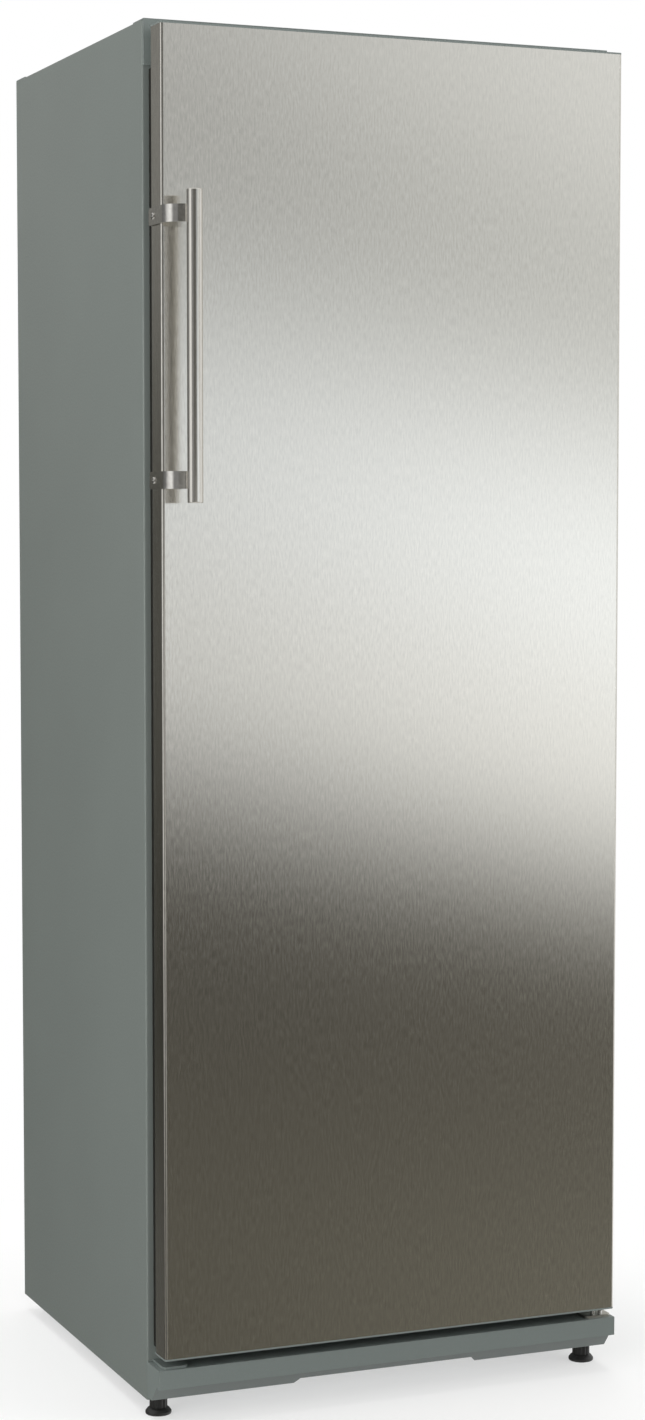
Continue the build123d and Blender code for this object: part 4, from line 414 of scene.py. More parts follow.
def blown_foam(name, colour):
    """Polyurethane foam, seen only where it fills a gap: open cells."""
    # Real cells are some 0.3 mm across. They are drawn as 1.6 mm.
    material, tree, shader, place = new_material(name, IOR=1.45, Subsurface_Weight=0.2)
    cells = add_node(
        tree, "ShaderNodeTexVoronoi", {"Scale": 1 / (1.6 * MM)}, {"Vector": place}
    )
    # Each cell is darker toward its middle, where the bump sinks it deepest: painted shade in the
    # cells' hollows, as the foam's own cream is even.
    vary(
        tree, shader, cells.outputs["Distance"], colour, (0.8, 1.05), (0.7, 0.9), (0.0, 0.6)
    )
    add_node(
        tree, "ShaderNodeBump", {"Strength": 0.5, "Distance": 0.8 * MM},
        {"Height": cells.outputs["Distance"]}, feeds={"Normal": shader.inputs["Normal"]},
    )
    return material


def tinted_acrylic(name, colour):
    """Small clear acrylic lens in front of a lamp that is off, moulded with
    flow marks about 2 mm apart."""
    material, tree, shader, place = new_material(name, IOR=1.49, Transmission_Weight=0.4)
    depth = add_node(
        tree, "ShaderNodeTexNoise", {"Scale": 1 / (2 * MM), "Detail": 1.0},
        {"Vector": place},
    )
    vary(tree, shader, depth.outputs["Fac"], colour, (0.85, 1.05), (0.08, 0.16))
    return material


# ---- shapes
def new_piece(name, mesh_builder, body, material, replaced=(), sharp=40.0):
    """Turns built geometry in millimetres into a piece that rides on a body."""
    mesh = bpy.data.meshes.new(name)
    bmesh.ops.recalc_face_normals(mesh_builder, faces=mesh_builder.faces)
    bmesh.ops.scale(mesh_builder, vec=(MM, MM, MM), verts=mesh_builder.verts)
    mesh_builder.to_mesh(mesh)
    mesh_builder.free()
    for face in mesh.polygons:
        face.use_smooth = True
    mesh.set_sharp_from_angle(angle=math.radians(sharp))
    mesh.materials.append(material)
    piece = bpy.data.objects.new(name, mesh)
    bpy.context.collection.objects.link(piece)
    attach(piece, body)
    if replaced:
        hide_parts(*replaced)


def rounded_route(points, radius, steps=6):
    """The route with an arc at each corner, or as much arc as fits there."""
    corners = [Vector(point) for point in points]
    route = [corners[0]]
    for before, corner, after in zip(corners, corners[1:], corners[2:]):
        arrive = (corner - before).normalized()
        leave = (after - corner).normalized()
        turn = arrive.angle(leave)
        room = min((corner - before).length, (after - corner).length) / 2
        cut = min(radius * math.tan(turn / 2), room)
        swing = cut / math.tan(turn / 2)
        inward = (leave - arrive).normalized()
        centre = corner + inward * (swing / math.cos(turn / 2))
        start = corner - arrive * cut - centre
        axis = arrive.cross(leave)
        for step in range(steps + 1):
            route.append(centre + Matrix.Rotation(turn * step / steps, 3, axis) @ start)
    route.append(corners[-1])
    return route


def add_skin(shape, rings):
    """Joins rings of vertices into a skin that is closed at both ends."""
    for low, high in zip(rings, rings[1:]):
        for i in range(len(low)):
            j = (i + 1) % len(low)
            shape.faces.new((low[i], low[j], high[j], high[i]))
    shape.faces.new(list(reversed(rings[0])))
    shape.faces.new(rings[-1])


def add_tube(shape, route, radius, sides=10):
    """Sweeps a round section along the route, with closed ends."""
    tangents = []
    for index in range(len(route)):
        before = route[max(0, index - 1)]
        after = route[min(len(route) - 1, index + 1)]
        tangents.append((after - before).normalized())
    side = tangents[0].orthogonal().normalized()
    rings = []
    for index, (point, tangent) in enumerate(zip(route, tangents)):
        if index:
            side = (side - tangent * side.dot(tangent)).normalized()
        across = tangent.cross(side)
        rings.append([
            shape.verts.new(
                point + side * (radius * math.cos(2 * math.pi * i / sides))
                + across * (radius * math.sin(2 * math.pi * i / sides))
            )
            for i in range(sides)
        ])
    add_skin(shape, rings)


def add_turned(shape, rings, place, sides=48):
    """Turns a profile about its axis. Each ring is a height and a radius, or
    a function that gives the radius at an angle."""
    made = []
    for height, radius in rings:
        ring = []
        for i in range(sides):
            angle = 2 * math.pi * i / sides
            reach = radius(angle) if callable(radius) else radius
            spot = Vector((reach * math.cos(angle), reach * math.sin(angle), height))
            ring.append(shape.verts.new(place @ spot))
        made.append(ring)
    add_skin(shape, made)


def add_slab(shape, low, high, bevel, segments=3):
    """A block between two corners, with its edges rounded. It is made apart
    and then joined on, so that its faces come in the same order every run."""
    size = Vector(high) - Vector(low)
    middle = (Vector(high) + Vector(low)) / 2
    slab = bmesh.new()
    bmesh.ops.create_cube(
        slab, size=1.0, matrix=Matrix.Translation(middle) @ Matrix.Diagonal((*size, 1.0))
    )
    bmesh.ops.bevel(
        slab, geom=slab.edges[:], offset=bevel, segments=segments, profile=0.5, affect="EDGES"
    )
    rounded = bpy.data.meshes.new("rounded_slab")
    slab.to_mesh(rounded)
    slab.free()
    shape.from_mesh(rounded)
    bpy.data.meshes.remove(rounded)


def quarter(steps):
    """The angles of a quarter turn, without its start."""
    return [math.radians(90.0 * step / steps) for step in range(1, steps + 1)]


def facing(point, direction):
    """Place whose own +Z points along the direction."""
    turn = Vector(direction).to_track_quat("Z", "Y").to_matrix().to_4x4()
    return Matrix.Translation(Vector(point)) @ turn


def cross_slot(reach, half):
    """Outline of a cross recess in polar form."""
    def radius(angle):
        c = max(abs(math.cos(angle)), 1e-6)
        s = max(abs(math.sin(angle)), 1e-6)
        return max(min(reach / c, half / s), min(reach / s, half / c))
    return radius


def add_screw(shape, place, head, length):
    """Pan head with a cross recess, and a plain shank behind it."""
    reach = 0.56 * head
    half = 0.13 * head
    rings = [
        (-length, 0.35 * head), (-length + 1.0, 0.5 * head), (0.0, 0.5 * head), (0.0, 0.96 * head),
        (0.5, head), (1.0, 0.97 * head), (1.5, 0.86 * head), (1.85, 0.72 * head),
        (2.0, cross_slot(reach, half)), (1.2, cross_slot(reach * 0.82, half * 0.9)),
        (0.7, cross_slot(reach * 0.4, half * 0.8)),
    ]
    add_turned(shape, rings, place, sides=64)


def add_folded_sheet(shape, outline, thickness, radius, low, high):
    """A sheet folded along a line seen from above, with round folds. The
    outline is the outer face, and the sheet lies on its left."""
    corners = [Vector((x, y, 0.0)) for x, y in outline]
    outer = rounded_route(corners, radius)
    inner = []
    for index, point in enumerate(outer):
        before = outer[max(0, index - 1)]
        after = outer[min(len(outer) - 1, index + 1)]
        along = (after - before).normalized()
        inner.append(point + Vector((-along.y, along.x, 0.0)) * thickness)
    section = [shape.verts.new(point + Vector((0, 0, low))) for point in outer + inner[::-1]]
    top = [shape.verts.new(vert.co + Vector((0, 0, high - low))) for vert in section]
    count = len(section)
    for i in range(count):
        j = (i + 1) % count
        shape.faces.new((section[i], section[j], top[j], top[i]))
    last = len(outer) - 1
    for ring in (section, top):
        for i in range(last):
            shape.faces.new((ring[i], ring[i + 1], ring[count - 2 - i], ring[count - 1 - i]))


# ---- operators
class PieceOperator:
    bl_options = {"REGISTER", "UNDO"}

    def execute(self, context):
        self.make(context.scene.freezer_finishes, context.scene.freezer_fittings)
        return {"FINISHED"}


class FREEZER_OT_cabinet_shell(PieceOperator, bpy.types.Operator):
    """Paint the cabinet's shell and add the screws of its back"""
    bl_idname = "freezer.cabinet_shell"
    bl_label = "Cabinet Shell"

    def make(self, finish, fitting):
        paint = sprayed_silver_paint("sprayed_silver_steel", finish.side, finish.paint_ripple)
        dress(["top_panel", "front_frame_rails"], paint)
        for side, hand in (("left", -1), ("right", 1)):
            edge = hand * HALF_WIDTH
            outline = [
                (edge - hand * 30.0, FRONT), (edge, FRONT), (edge, REAR), (edge - hand * 16.0, REAR)
            ]
            shape = bmesh.new()
            fold = fitting.fold / MM
            add_folded_sheet(
                shape, outline[::hand], PANEL_SHEET, fold, PANEL_BOTTOM, PANEL_TOP
            )
            new_piece(
                f"folded_side_{side}", shape, "cabinet", paint,
                [f"{side}_side_panel"],
            )
        zinc = galvanised_sheet("galvanised_steel_sheet", hex_to_linear("#a4a8a8"))
        dress(["back_panel", "base_panel", "front_crossbar", "compressor_tray"], zinc)
        foam = blown_foam("blown_polyurethane_body", hex_to_linear("#e3d6a4"))
        dress(["insulation_foam"], foam)
        plated = bright_steel(
            "zinc_plated_rear_screws", hex_to_linear("#b9b8b2"), 3 * MM, 0.25, 0.38
        )
        shape = bmesh.new()
        for x in (8.0 - HALF_WIDTH, HALF_WIDTH - 8.0):
            for row in range(6):
                add_screw(shape, facing((x, REAR, 290.0 + 255.0 * row), (0, 1, 0)), 3.6, 4.0)
        new_piece("rear_flange_screws", shape, "cabinet", plated)


class FREEZER_OT_trims(PieceOperator, bpy.types.Operator):
    """Colour the moulded trims, plinth and blank plate"""
    bl_idname = "freezer.trims"
    bl_label = "Trims and Plinth"

    def make(self, finish, fitting):
        plastic = moulded_plastic("moulded_abs_trim", finish.trim, finish.plastic_grit)
        dress(["front_top_trim", "rear_top_trim", "plinth", "hinge_blank_plate"], plastic)


class FREEZER_OT_door_shell(PieceOperator, bpy.types.Operator):
    """Brush the door's steel skin, colour its caps and foam, plug its side"""
    bl_idname = "freezer.door_shell"
    bl_label = "Door Shell"

    def make(self, finish, fitting):
        steel = brushed_stainless(
            "brushed_stainless_door", finish.steel, finish.grain_width, finish.grain_length, 0.14
        )
        dress(["door_skin"], steel)
        plastic = moulded_plastic("moulded_abs_door", finish.trim, finish.plastic_grit)
        dress(["door_top_cap", "door_bottom_cap"], plastic)
        dress(["door_foam"], blown_foam("blown_polyurethane_door", hex_to_linear("#e3d6a4")))
        head = fitting.screw_head / MM
        dome = [
            (-8.8, 1.2), (-7.8, 2.0), (0.0, 2.0), (0.0, 0.97 * head), (0.5, head),
            (1.1, 0.93 * head), (1.6, 0.74 * head), (1.9, 0.42 * head), (2.0, 0.1 * head),
        ]
        shape = bmesh.new()
        for z in HANDLE_LEVELS:
            add_turned(shape, dome, facing((295.0, SIDE_SCREW_Y, z), (1, 0, 0)), sides=32)
        new_piece(
            "domed_side_plugs", shape, "door", plastic, ["door_side_plugs"]
        )


class FREEZER_OT_door_inside(PieceOperator, bpy.types.Operator):
    """Finish the door's liner and its magnetic seal"""
    bl_idname = "freezer.door_inside"
    bl_label = "Door Inside"

    def make(self, finish, fitting):
        dress(["door_inner_liner"], vacuum_formed_liner("formed_polystyrene_door", finish.liner))
        # The seal's colour holds painted shade of the gap round the door.
        dress(["door_gasket"], soft_rubber("seal_rubber_and_gap_shade", finish.gasket))
        dress(["gasket_magnets"], soft_rubber("magnet_rubber", hex_to_linear("#2c2827")))


class FREEZER_OT_handle(PieceOperator, bpy.types.Operator):
    """Finish the bar and its brackets, and cut the recesses of its screws"""
    bl_idname = "freezer.handle"
    bl_label = "Handle"

    def make(self, finish, fitting):
        bar = brushed_stainless(
            "brushed_stainless_bar", hex_to_linear("#d2cfc8"), 0.8 * MM, 20 * MM, 0.14
        )
        radius, flat, half = 9.0, 8.1, 10.2  # the bar, and the flats that seat its brackets

        def milled(angle):
            back = math.sin(angle)
            return min(radius, flat / back) if back > 0.1 else radius

        low, high = HANDLE_LEVELS[0] - 26.0, HANDLE_LEVELS[1] + 26.0
        end = [(0.0, radius - 0.8), (0.3, radius - 0.3), (0.8, radius), (1.3, radius)]
        rings = [(low + inward, reach) for inward, reach in end]
        for z in HANDLE_LEVELS:
            rings += [(z - half, radius), (z - half, milled)]
            rings += [(z + half, milled), (z + half, radius)]
        rings += [(high - inward, reach) for inward, reach in reversed(end)]
        shape = bmesh.new()
        add_turned(shape, rings, Matrix.Translation((HANDLE_X, HANDLE_Y, 0.0)), sides=96)
        new_piece("round_handle_bar", shape, "door", bar, ["handle_bar"])
        strip = bright_steel(
            "polished_steel_brackets", hex_to_linear("#cfcdc8"), 4 * MM, 0.12, 0.22
        )
        dress(["handle_brackets"], strip)
        shape = bmesh.new()
        head = fitting.screw_head / MM
        for z in HANDLE_LEVELS:
            add_screw(shape, facing((-297.5, SIDE_SCREW_Y, z), (-1, 0, 0)), head, 12.3)
            add_screw(shape, facing((HANDLE_X, HANDLE_Y + 10.6, z), (0, 1, 0)), head, 11.5)
        screw = bright_steel(
            "nickel_plated_screws", hex_to_linear("#bdbbb6"), 2 * MM, 0.16, 0.28
        )
        new_piece("handle_cross_screws", shape, "door", screw, ["handle_screws"])


class FREEZER_OT_hinges(PieceOperator, bpy.types.Operator):
    """Finish the hinges and cut the recesses of their screws"""
    bl_idname = "freezer.hinges"
    bl_label = "Hinges"

    def make(self, finish, fitting):
        zinc = bright_steel("zinc_plated_hinge", hex_to_linear("#b4b2aa"), 6 * MM, 0.26, 0.4)
        dress(["upper_hinge_bracket", "lower_hinge_bracket"], zinc)
        pins = bright_steel("polished_steel_pins", hex_to_linear("#d0d0cd"), 3 * MM, 0.12, 0.2)
        dress(["hinge_pins"], pins)
        nylon = moulded_plastic("natural_nylon_bushes", hex_to_linear("#d8d4c4"), 1.2 * MM)
        dress(["hinge_bushes"], nylon)
        shape = bmesh.new()
        for x in (270.75, 288.25):
            for z in (1595.0, 46.5):
                add_screw(
                    shape, facing((x, FRONT - 3.0, z), (0, -1, 0)), fitting.screw_head / MM, 3.0
                )
        new_piece("hinge_cross_screws", shape, "cabinet", zinc, ["hinge_screws"])


class FREEZER_OT_controls(PieceOperator, bpy.types.Operator):
    """Finish the knob, rocker and lenses, and raise the dial's ticks"""
    bl_idname = "freezer.controls"
    bl_label = "Controls"

    def make(self, finish, fitting):
        black = moulded_plastic("moulded_black_abs", hex_to_linear("#2b2c2c"), 0.7 * MM, 0.5)
        dress(["control_housing", "fast_freeze_switch"], black)
        knob = moulded_plastic("moulded_abs_knob", hex_to_linear("#9aa09c"), 0.6 * MM, 0.35)
        dress(["thermostat_knob"], knob)
        dress(["indicator_lenses"], tinted_acrylic("acrylic_lens", hex_to_linear("#c9d3bd")))
        face = FRONT - 3.5
        shape = bmesh.new()
        # The ticks follow the knob's mark, clockwise from the top to the left.
        last = fitting.dial_ticks - 1
        for tick in range(fitting.dial_ticks):
            angle = math.radians(90.0 - 270.0 * tick / last)
            long_tick = 1.2 if tick in (0, last // 2, last) else 0.0
            along = Vector((math.cos(angle), 0.0, math.sin(angle)))
            middle = Vector((DIAL_X, face, DIAL_Z)) + along * (18.0 + long_tick / 2)
            turn = Matrix.Rotation(-angle, 4, "Y")
            size = Matrix.Diagonal((2.0 + long_tick, 0.5, 0.8, 1.0))
            bmesh.ops.create_cube(shape, size=1.0, matrix=Matrix.Translation(middle) @ turn @ size)
        pale = moulded_plastic("moulded_dial_ticks", hex_to_linear("#d6dad7"), 0.6 * MM, 0.4)
        new_piece("dial_ticks", shape, "cabinet", pale)


class FREEZER_OT_inside(PieceOperator, bpy.types.Operator):
    """Finish the liner and drawers, and bend the shelves' tubes and wires"""
    bl_idname = "freezer.inside"
    bl_label = "Inside"

    def make(self, finish, fitting):
        dress(["inner_liner"], vacuum_formed_liner("formed_polystyrene_body", finish.liner))
        tub = clear_polystyrene("clear_polystyrene_drawer", finish.drawer)
        dress([name for name in NODES if name.startswith("drawer_")], tub)
        shelf = dipped_enamel("white_coated_shelf", hex_to_linear("#dfe3e2"), 0.35)
        tube = fitting.shelf_tube / MM
        wire = fitting.shelf_wire / MM
        front, rear, pitch = FRONT + 34.0, FRONT + 435.0, 67.0
        right, left, feed, outer_wire = 231.0, -221.1, -231.0, 216.0
        wires = bmesh.new()
        for level in range(1, SHELF_COUNT + 1):
            floor_z = LINER_FLOOR + SHELF_PITCH * level
            z = floor_z - wire - tube / 2
            points = [(feed, rear, z), (feed, front, z)]
            for run in range(5):
                edge = left if run % 2 else right
                y = front + run * pitch
                points += [(edge, y, z), (edge, y + pitch, z)]
            points += [(left, front + 5 * pitch, z), (left, rear, z)]
            shape = bmesh.new()
            add_tube(shape, rounded_route(points, fitting.bend / MM), tube / 2)
            new_piece(
                f"shelf_tube_{level}", shape, "cabinet", shelf,
                [f"evaporator_coil_{level}"],
            )
            for index in range(fitting.shelf_wires):
                x = outer_wire * (2 * index / (fitting.shelf_wires - 1) - 1)
                ends = [
                    Vector((x, front - tube, floor_z - wire / 2)),
                    Vector((x, front + 5 * pitch + tube, floor_z - wire / 2)),
                ]
                add_tube(wires, ends, wire / 2, sides=8)
        new_piece("shelf_wires", wires, "cabinet", shelf, ["evaporator_wires"])


class FREEZER_OT_feet(PieceOperator, bpy.types.Operator):
    """Turn the screw feet and the rollers"""
    bl_idname = "freezer.feet"
    bl_label = "Feet and Rollers"

    def make(self, finish, fitting):
        black = moulded_plastic("moulded_black_polyamide", hex_to_linear("#1e1e1d"), 0.8 * MM, 0.45)
        nylon = moulded_plastic("natural_nylon_rollers", hex_to_linear("#cfccbe"), 1.2 * MM)
        pad = fitting.foot_radius / MM

        def grip(angle):
            return 10.2 + 0.6 * math.cos(12 * angle)

        foot = [
            (0.0, pad - 1.0), (0.6, pad - 0.2), (1.2, pad), (3.4, pad), (4.0, pad - 0.4),
            (4.6, pad - 1.2), (6.0, 13.6), (7.4, 12.0), (8.0, grip), (24.6, grip), (25.4, 9.0),
            (25.7, 5.0),
        ]
        thread = [(26.0 + turn * 0.75, 4.95 if turn % 2 else 4.3) for turn in range(50)]
        for side, x in (("left", -FOOT_X), ("right", FOOT_X)):
            shape = bmesh.new()
            add_turned(shape, foot + thread, Matrix.Translation((x, FRONT + 12.0, 0.0)), sides=96)
            new_piece(
                f"screw_foot_{side}", shape, f"foot_{side}", black, [f"foot_{side}"]
            )
        tread = [
            (-9.0, 3.2), (-9.0, 5.4), (-8.2, 5.8), (-7.6, 9.6), (-9.0, 10.2), (-9.0, 11.2),
            (-8.2, 12.0), (8.2, 12.0), (9.0, 11.2), (9.0, 10.2), (7.6, 9.6), (8.2, 5.8),
            (9.0, 5.4), (9.0, 3.2),
        ]
        for side, x in (("left", -ROLLER_X), ("right", ROLLER_X)):
            shape = bmesh.new()
            axle = facing((x, REAR - 35.0, ROLLER_RADIUS), (1, 0, 0))
            add_turned(shape, tread, axle, sides=64)
            new_piece(
                f"nylon_roller_{side}", shape, f"roller_{side}", nylon, [f"roller_{side}"]
            )


class FREEZER_OT_condenser(PieceOperator, bpy.types.Operator):
    """Bend the rear tube, lay its wires and finish its clips"""
    bl_idname = "freezer.condenser"
    bl_label = "Condenser"

    def make(self, finish, fitting):
        enamel = dipped_enamel("black_dipped_enamel", hex_to_linear("#232323"), 0.34)
        nylon = moulded_plastic("natural_nylon_clips", hex_to_linear("#d4d0c2"), 1.2 * MM)
        dress(["condenser_clips"], nylon)
        tube = fitting.condenser_tube / MM
        wire = fitting.condenser_wire / MM
        low, pitch, half, outer_wire, over = 360.0, 62.0, 255.0, 233.0, 22.0
        points = [(DRIER_X, CONDENSER_Y, low - 56.0), (DRIER_X, CONDENSER_Y, low)]
        for run in range(18):
            near, far = (half, -half) if run % 2 else (-half, half)
            z = low + run * pitch
            if run:
                points.append((near, CONDENSER_Y, z))
            points.append((far, CONDENSER_Y, z))
        shape = bmesh.new()
        add_tube(shape, rounded_route(points, fitting.bend / MM), tube / 2)
        new_piece(
            "condenser_serpentine", shape, "cabinet", enamel, ["condenser_coil"]
        )
        shape = bmesh.new()
        for index in range(fitting.condenser_wires):
            x = outer_wire * (2 * index / (fitting.condenser_wires - 1) - 1)
            for y in (CONDENSER_Y - (tube + wire) / 2, CONDENSER_Y + (tube + wire) / 2):
                ends = [Vector((x, y, low - over)), Vector((x, y, low + 17 * pitch + over))]
                add_tube(shape, ends, wire / 2, sides=8)
        new_piece(
            "condenser_grid", shape, "cabinet", enamel, ["condenser_wires"]
        )


class FREEZER_OT_compressor(PieceOperator, bpy.types.Operator):
    """Form the compressor's pot, its mounts, the drier and the pipes"""
    bl_idname = "freezer.compressor"
    bl_label = "Compressor and Pipes"

    def make(self, finish, fitting):
        black = moulded_plastic("moulded_black_polyamide_cover", hex_to_linear("#262626"), 1.0 * MM)
        dress(["relay_cover", "cord_gland"], black)
        enamel = dipped_enamel("black_sprayed_enamel", hex_to_linear("#1b1c1d"), 0.26)
        pot = fitting.pot_radius / MM
        base, seam, top = 54.5, 138.4, 209.5
        rings = [(base, pot - 30.0)]
        for swing in quarter(8):
            rings.append((base + 22.0 * (1 - math.cos(swing)), pot - 30.0 + 28.0 * math.sin(swing)))
        rings += [(seam - 6.0, pot - 2.0), (seam - 5.0, pot), (seam, pot), (seam + 1.0, pot - 1.0)]
        rings += [(seam + 1.4, pot - 4.0), (top - 42.0, pot - 4.0)]
        for swing in quarter(10):
            reach = 26.0 + (pot - 30.0) * math.cos(swing)
            rings.append((top - 42.0 + 38.0 * math.sin(swing), reach))
        rings += [(top - 1.0, 18.0), (top, 6.0)]
        shape = bmesh.new()
        middle = Matrix.Translation((COMPRESSOR_X, COMPRESSOR_Y, 0.0))
        add_turned(shape, rings, middle, sides=96)
        add_slab(
            shape, (COMPRESSOR_X - 88.0, COMPRESSOR_Y - 56.0, 51.5),
            (COMPRESSOR_X + 88.0, COMPRESSOR_Y + 56.0, 54.5), 1.4, 2,
        )
        add_slab(
            shape, (COMPRESSOR_X + 60.0, COMPRESSOR_Y - 20.0, 105.0),
            (COMPRESSOR_X + 82.0, COMPRESSOR_Y + 20.0, 159.0), 2.0,
        )
        for z in (110.0, 160.0):
            ends = [Vector((-46.0, COMPRESSOR_Y, z)), Vector((-16.0, COMPRESSOR_Y, z))]
            add_tube(shape, ends, 4.5, sides=20)
        new_piece("compressor_pot", shape, "cabinet", enamel, ["compressor"])

        rubber = soft_rubber("moulded_grommet_rubber", hex_to_linear("#2a2a29"))
        bush = [
            (39.5, 8.6), (40.3, 10.0), (43.5, 10.0), (44.5, 8.0), (47.0, 8.0), (48.0, 10.0),
            (50.8, 10.0), (51.5, 9.0),
        ]

        def hexagon(angle):
            return 6.1 / math.cos((angle % math.radians(60)) - math.radians(30))

        bolt = [(54.5, 8.6), (55.3, 8.6), (55.3, hexagon), (58.0, hexagon), (58.5, 5.6)]
        shape = bmesh.new()
        for x in (-76.0, 76.0):
            for y in (-44.0, 44.0):
                spot = Matrix.Translation((COMPRESSOR_X + x, COMPRESSOR_Y + y, 0.0))
                add_turned(shape, bush, spot)
                add_turned(shape, bolt, spot)
        new_piece(
            "compressor_bushes", shape, "cabinet", rubber, ["compressor_grommets"]
        )

        copper = drawn_copper("drawn_copper", hex_to_linear("#c98a63"))
        foot = DRIER_TOP - 96.0
        rings = [(foot, 2.6), (foot, 4.0), (foot + 6.0, 4.0)]
        for swing in quarter(6):
            rings.append((foot + 6.0 + 9.0 * (1 - math.cos(swing)), 4.0 + 5.0 * math.sin(swing)))
        rings += [(2 * DRIER_TOP - 96.0 - height, radius) for height, radius in reversed(rings)]
        shape = bmesh.new()
        add_turned(shape, rings, Matrix.Translation((DRIER_X, DRIER_Y, 0.0)), sides=40)
        new_piece("spun_drier", shape, "cabinet", copper, ["filter_drier"])

        runs = [
            (5.0, 12.0, [
                (-46.0, COMPRESSOR_Y, 160.0), (-278.0, COMPRESSOR_Y, 160.0),
                (-278.0, CONDENSER_Y, 160.0), (-278.0, CONDENSER_Y, 1414.0),
                (-255.0, CONDENSER_Y, 1414.0),
            ]),
            (5.0, 12.0, [
                (DRIER_X, CONDENSER_Y, 304.0), (DRIER_X, CONDENSER_Y, DRIER_TOP + 22.0),
                (DRIER_X, DRIER_Y, DRIER_TOP + 22.0), (DRIER_X, DRIER_Y, DRIER_TOP),
            ]),
            (2.4, 7.0, [
                (DRIER_X, DRIER_Y, foot), (DRIER_X, DRIER_Y, foot - 14.0),
                (DRIER_X, BAY_WALL, foot - 14.0),
            ]),
            (6.4, 20.0, [
                (-46.0, COMPRESSOR_Y, 110.0), (-120.0, COMPRESSOR_Y, 110.0),
                (-120.0, BAY_WALL, 110.0),
            ]),
        ]
        shape = bmesh.new()
        for diameter, bend, points in runs:
            add_tube(shape, rounded_route(points, bend), diameter / 2, sides=14)
        new_piece("copper_pipes", shape, "cabinet", copper, ["refrigerant_pipes"])


class FREEZER_OT_studio(bpy.types.Operator):
    """Set up floor, reflected wall, lamps, world and camera"""
    bl_idname = "freezer.studio"
    bl_label = "Studio"
    bl_options = {"REGISTER", "UNDO"}

    def execute(self, context):
        studio = context.scene.freezer_studio
        make_camera(context.scene, studio)
        make_floor(studio)
        make_walls(studio)
        make_lamps()
        make_world(context.scene)
        context.scene.view_settings.view_transform = "Standard"
        return {"FINISHED"}


# ---- studio
def make_camera(scene, studio):
    """The camera, where the photographer's stood."""
    data = bpy.data.cameras.new("photo_camera")
    data.lens = studio.lens
    data.sensor_width = 36.0
    data.clip_end = 50.0
    camera = bpy.data.objects.new("photo_camera", data)
    camera.location = (-studio.camera_x, -studio.camera_y, studio.camera_z)
    camera.rotation_euler = (math.pi / 2 + studio.camera_pitch, 0.0, -studio.camera_yaw)
    scene.collection.objects.link(camera)
    scene.camera = camera


def flat_sheet(name, corners, material):
    """One flat face of the studio, which is no part of the object."""
    mesh = bpy.data.meshes.new(name)
    mesh.from_pydata(corners, [], [tuple(range(len(corners)))])
    mesh.materials.append(material)
    sheet = bpy.data.objects.new(name, mesh)
    bpy.context.collection.objects.link(sheet)
    return sheet


def make_floor(studio):
    """Matt paper floor. The camera sees it white, with a soft shadow near
    the feet; the object is lit by its real grey. It is left out of the
    reflections, which show the walls."""
    reach = studio.floor_reach
    material, tree, shader, place = new_material(
        "matt_paper_floor", IOR=1.4, Specular_IOR_Level=0.1
    )
    rays = add_node(tree, "ShaderNodeLightPath")
    fibres = add_node(
        tree, "ShaderNodeTexNoise", {"Scale": 1 / (4 * MM), "Detail": 4.0},
        {"Vector": place},
    )
    paper = add_node(
        tree, "ShaderNodeValToRGB", links={"Fac": fibres.outputs["Fac"]},
        stops=[(0.3, shade(studio.floor, 0.98)), (0.7, shade(studio.floor))],
    )
    add_node(
        tree, "ShaderNodeMix", {7: (0.98, 0.98, 0.97, 1.0)},
        {0: rays.outputs["Is Camera Ray"], 6: paper.outputs["Color"]},
        feeds={2: shader.inputs["Base Color"]}, data_type="RGBA",
    )
    add_node(
        tree, "ShaderNodeMapRange",
        {"From Min": 0.3, "From Max": 0.7, "To Min": 0.8, "To Max": 0.9},
        {"Value": fibres.outputs["Fac"]}, feeds={"Result": shader.inputs["Roughness"]},
    )
    centre = add_node(tree, "ShaderNodeVectorMath", links={0: place}, operation="LENGTH")
    bare = add_node(
        tree, "ShaderNodeMapRange",
        {"From Min": 0.35, "From Max": 0.9, "To Min": 1.0 - studio.floor_shadow, "To Max": 1.0},
        {"Value": centre.outputs["Value"]}, interpolation_type="SMOOTHSTEP",
    )
    seen = add_node(
        tree, "ShaderNodeMath", links={0: bare.outputs["Result"], 1: rays.outputs["Is Camera Ray"]},
        operation="MULTIPLY",
    )
    white = add_node(tree, "ShaderNodeEmission", {"Color": (1, 1, 1, 1), "Strength": 1.0})
    add_node(
        tree, "ShaderNodeMixShader",
        links={0: seen.outputs["Value"], 1: shader.outputs["BSDF"], 2: white.outputs["Emission"]},
        feeds={"Shader": tree.nodes["Material Output"].inputs["Surface"]},
    )
    floor = flat_sheet(
        "studio_floor",
        [(-reach, -reach, 0.0), (reach, -reach, 0.0), (reach, reach, 0.0), (-reach, reach, 0.0)],
        material,
    )
    floor.visible_glossy = False


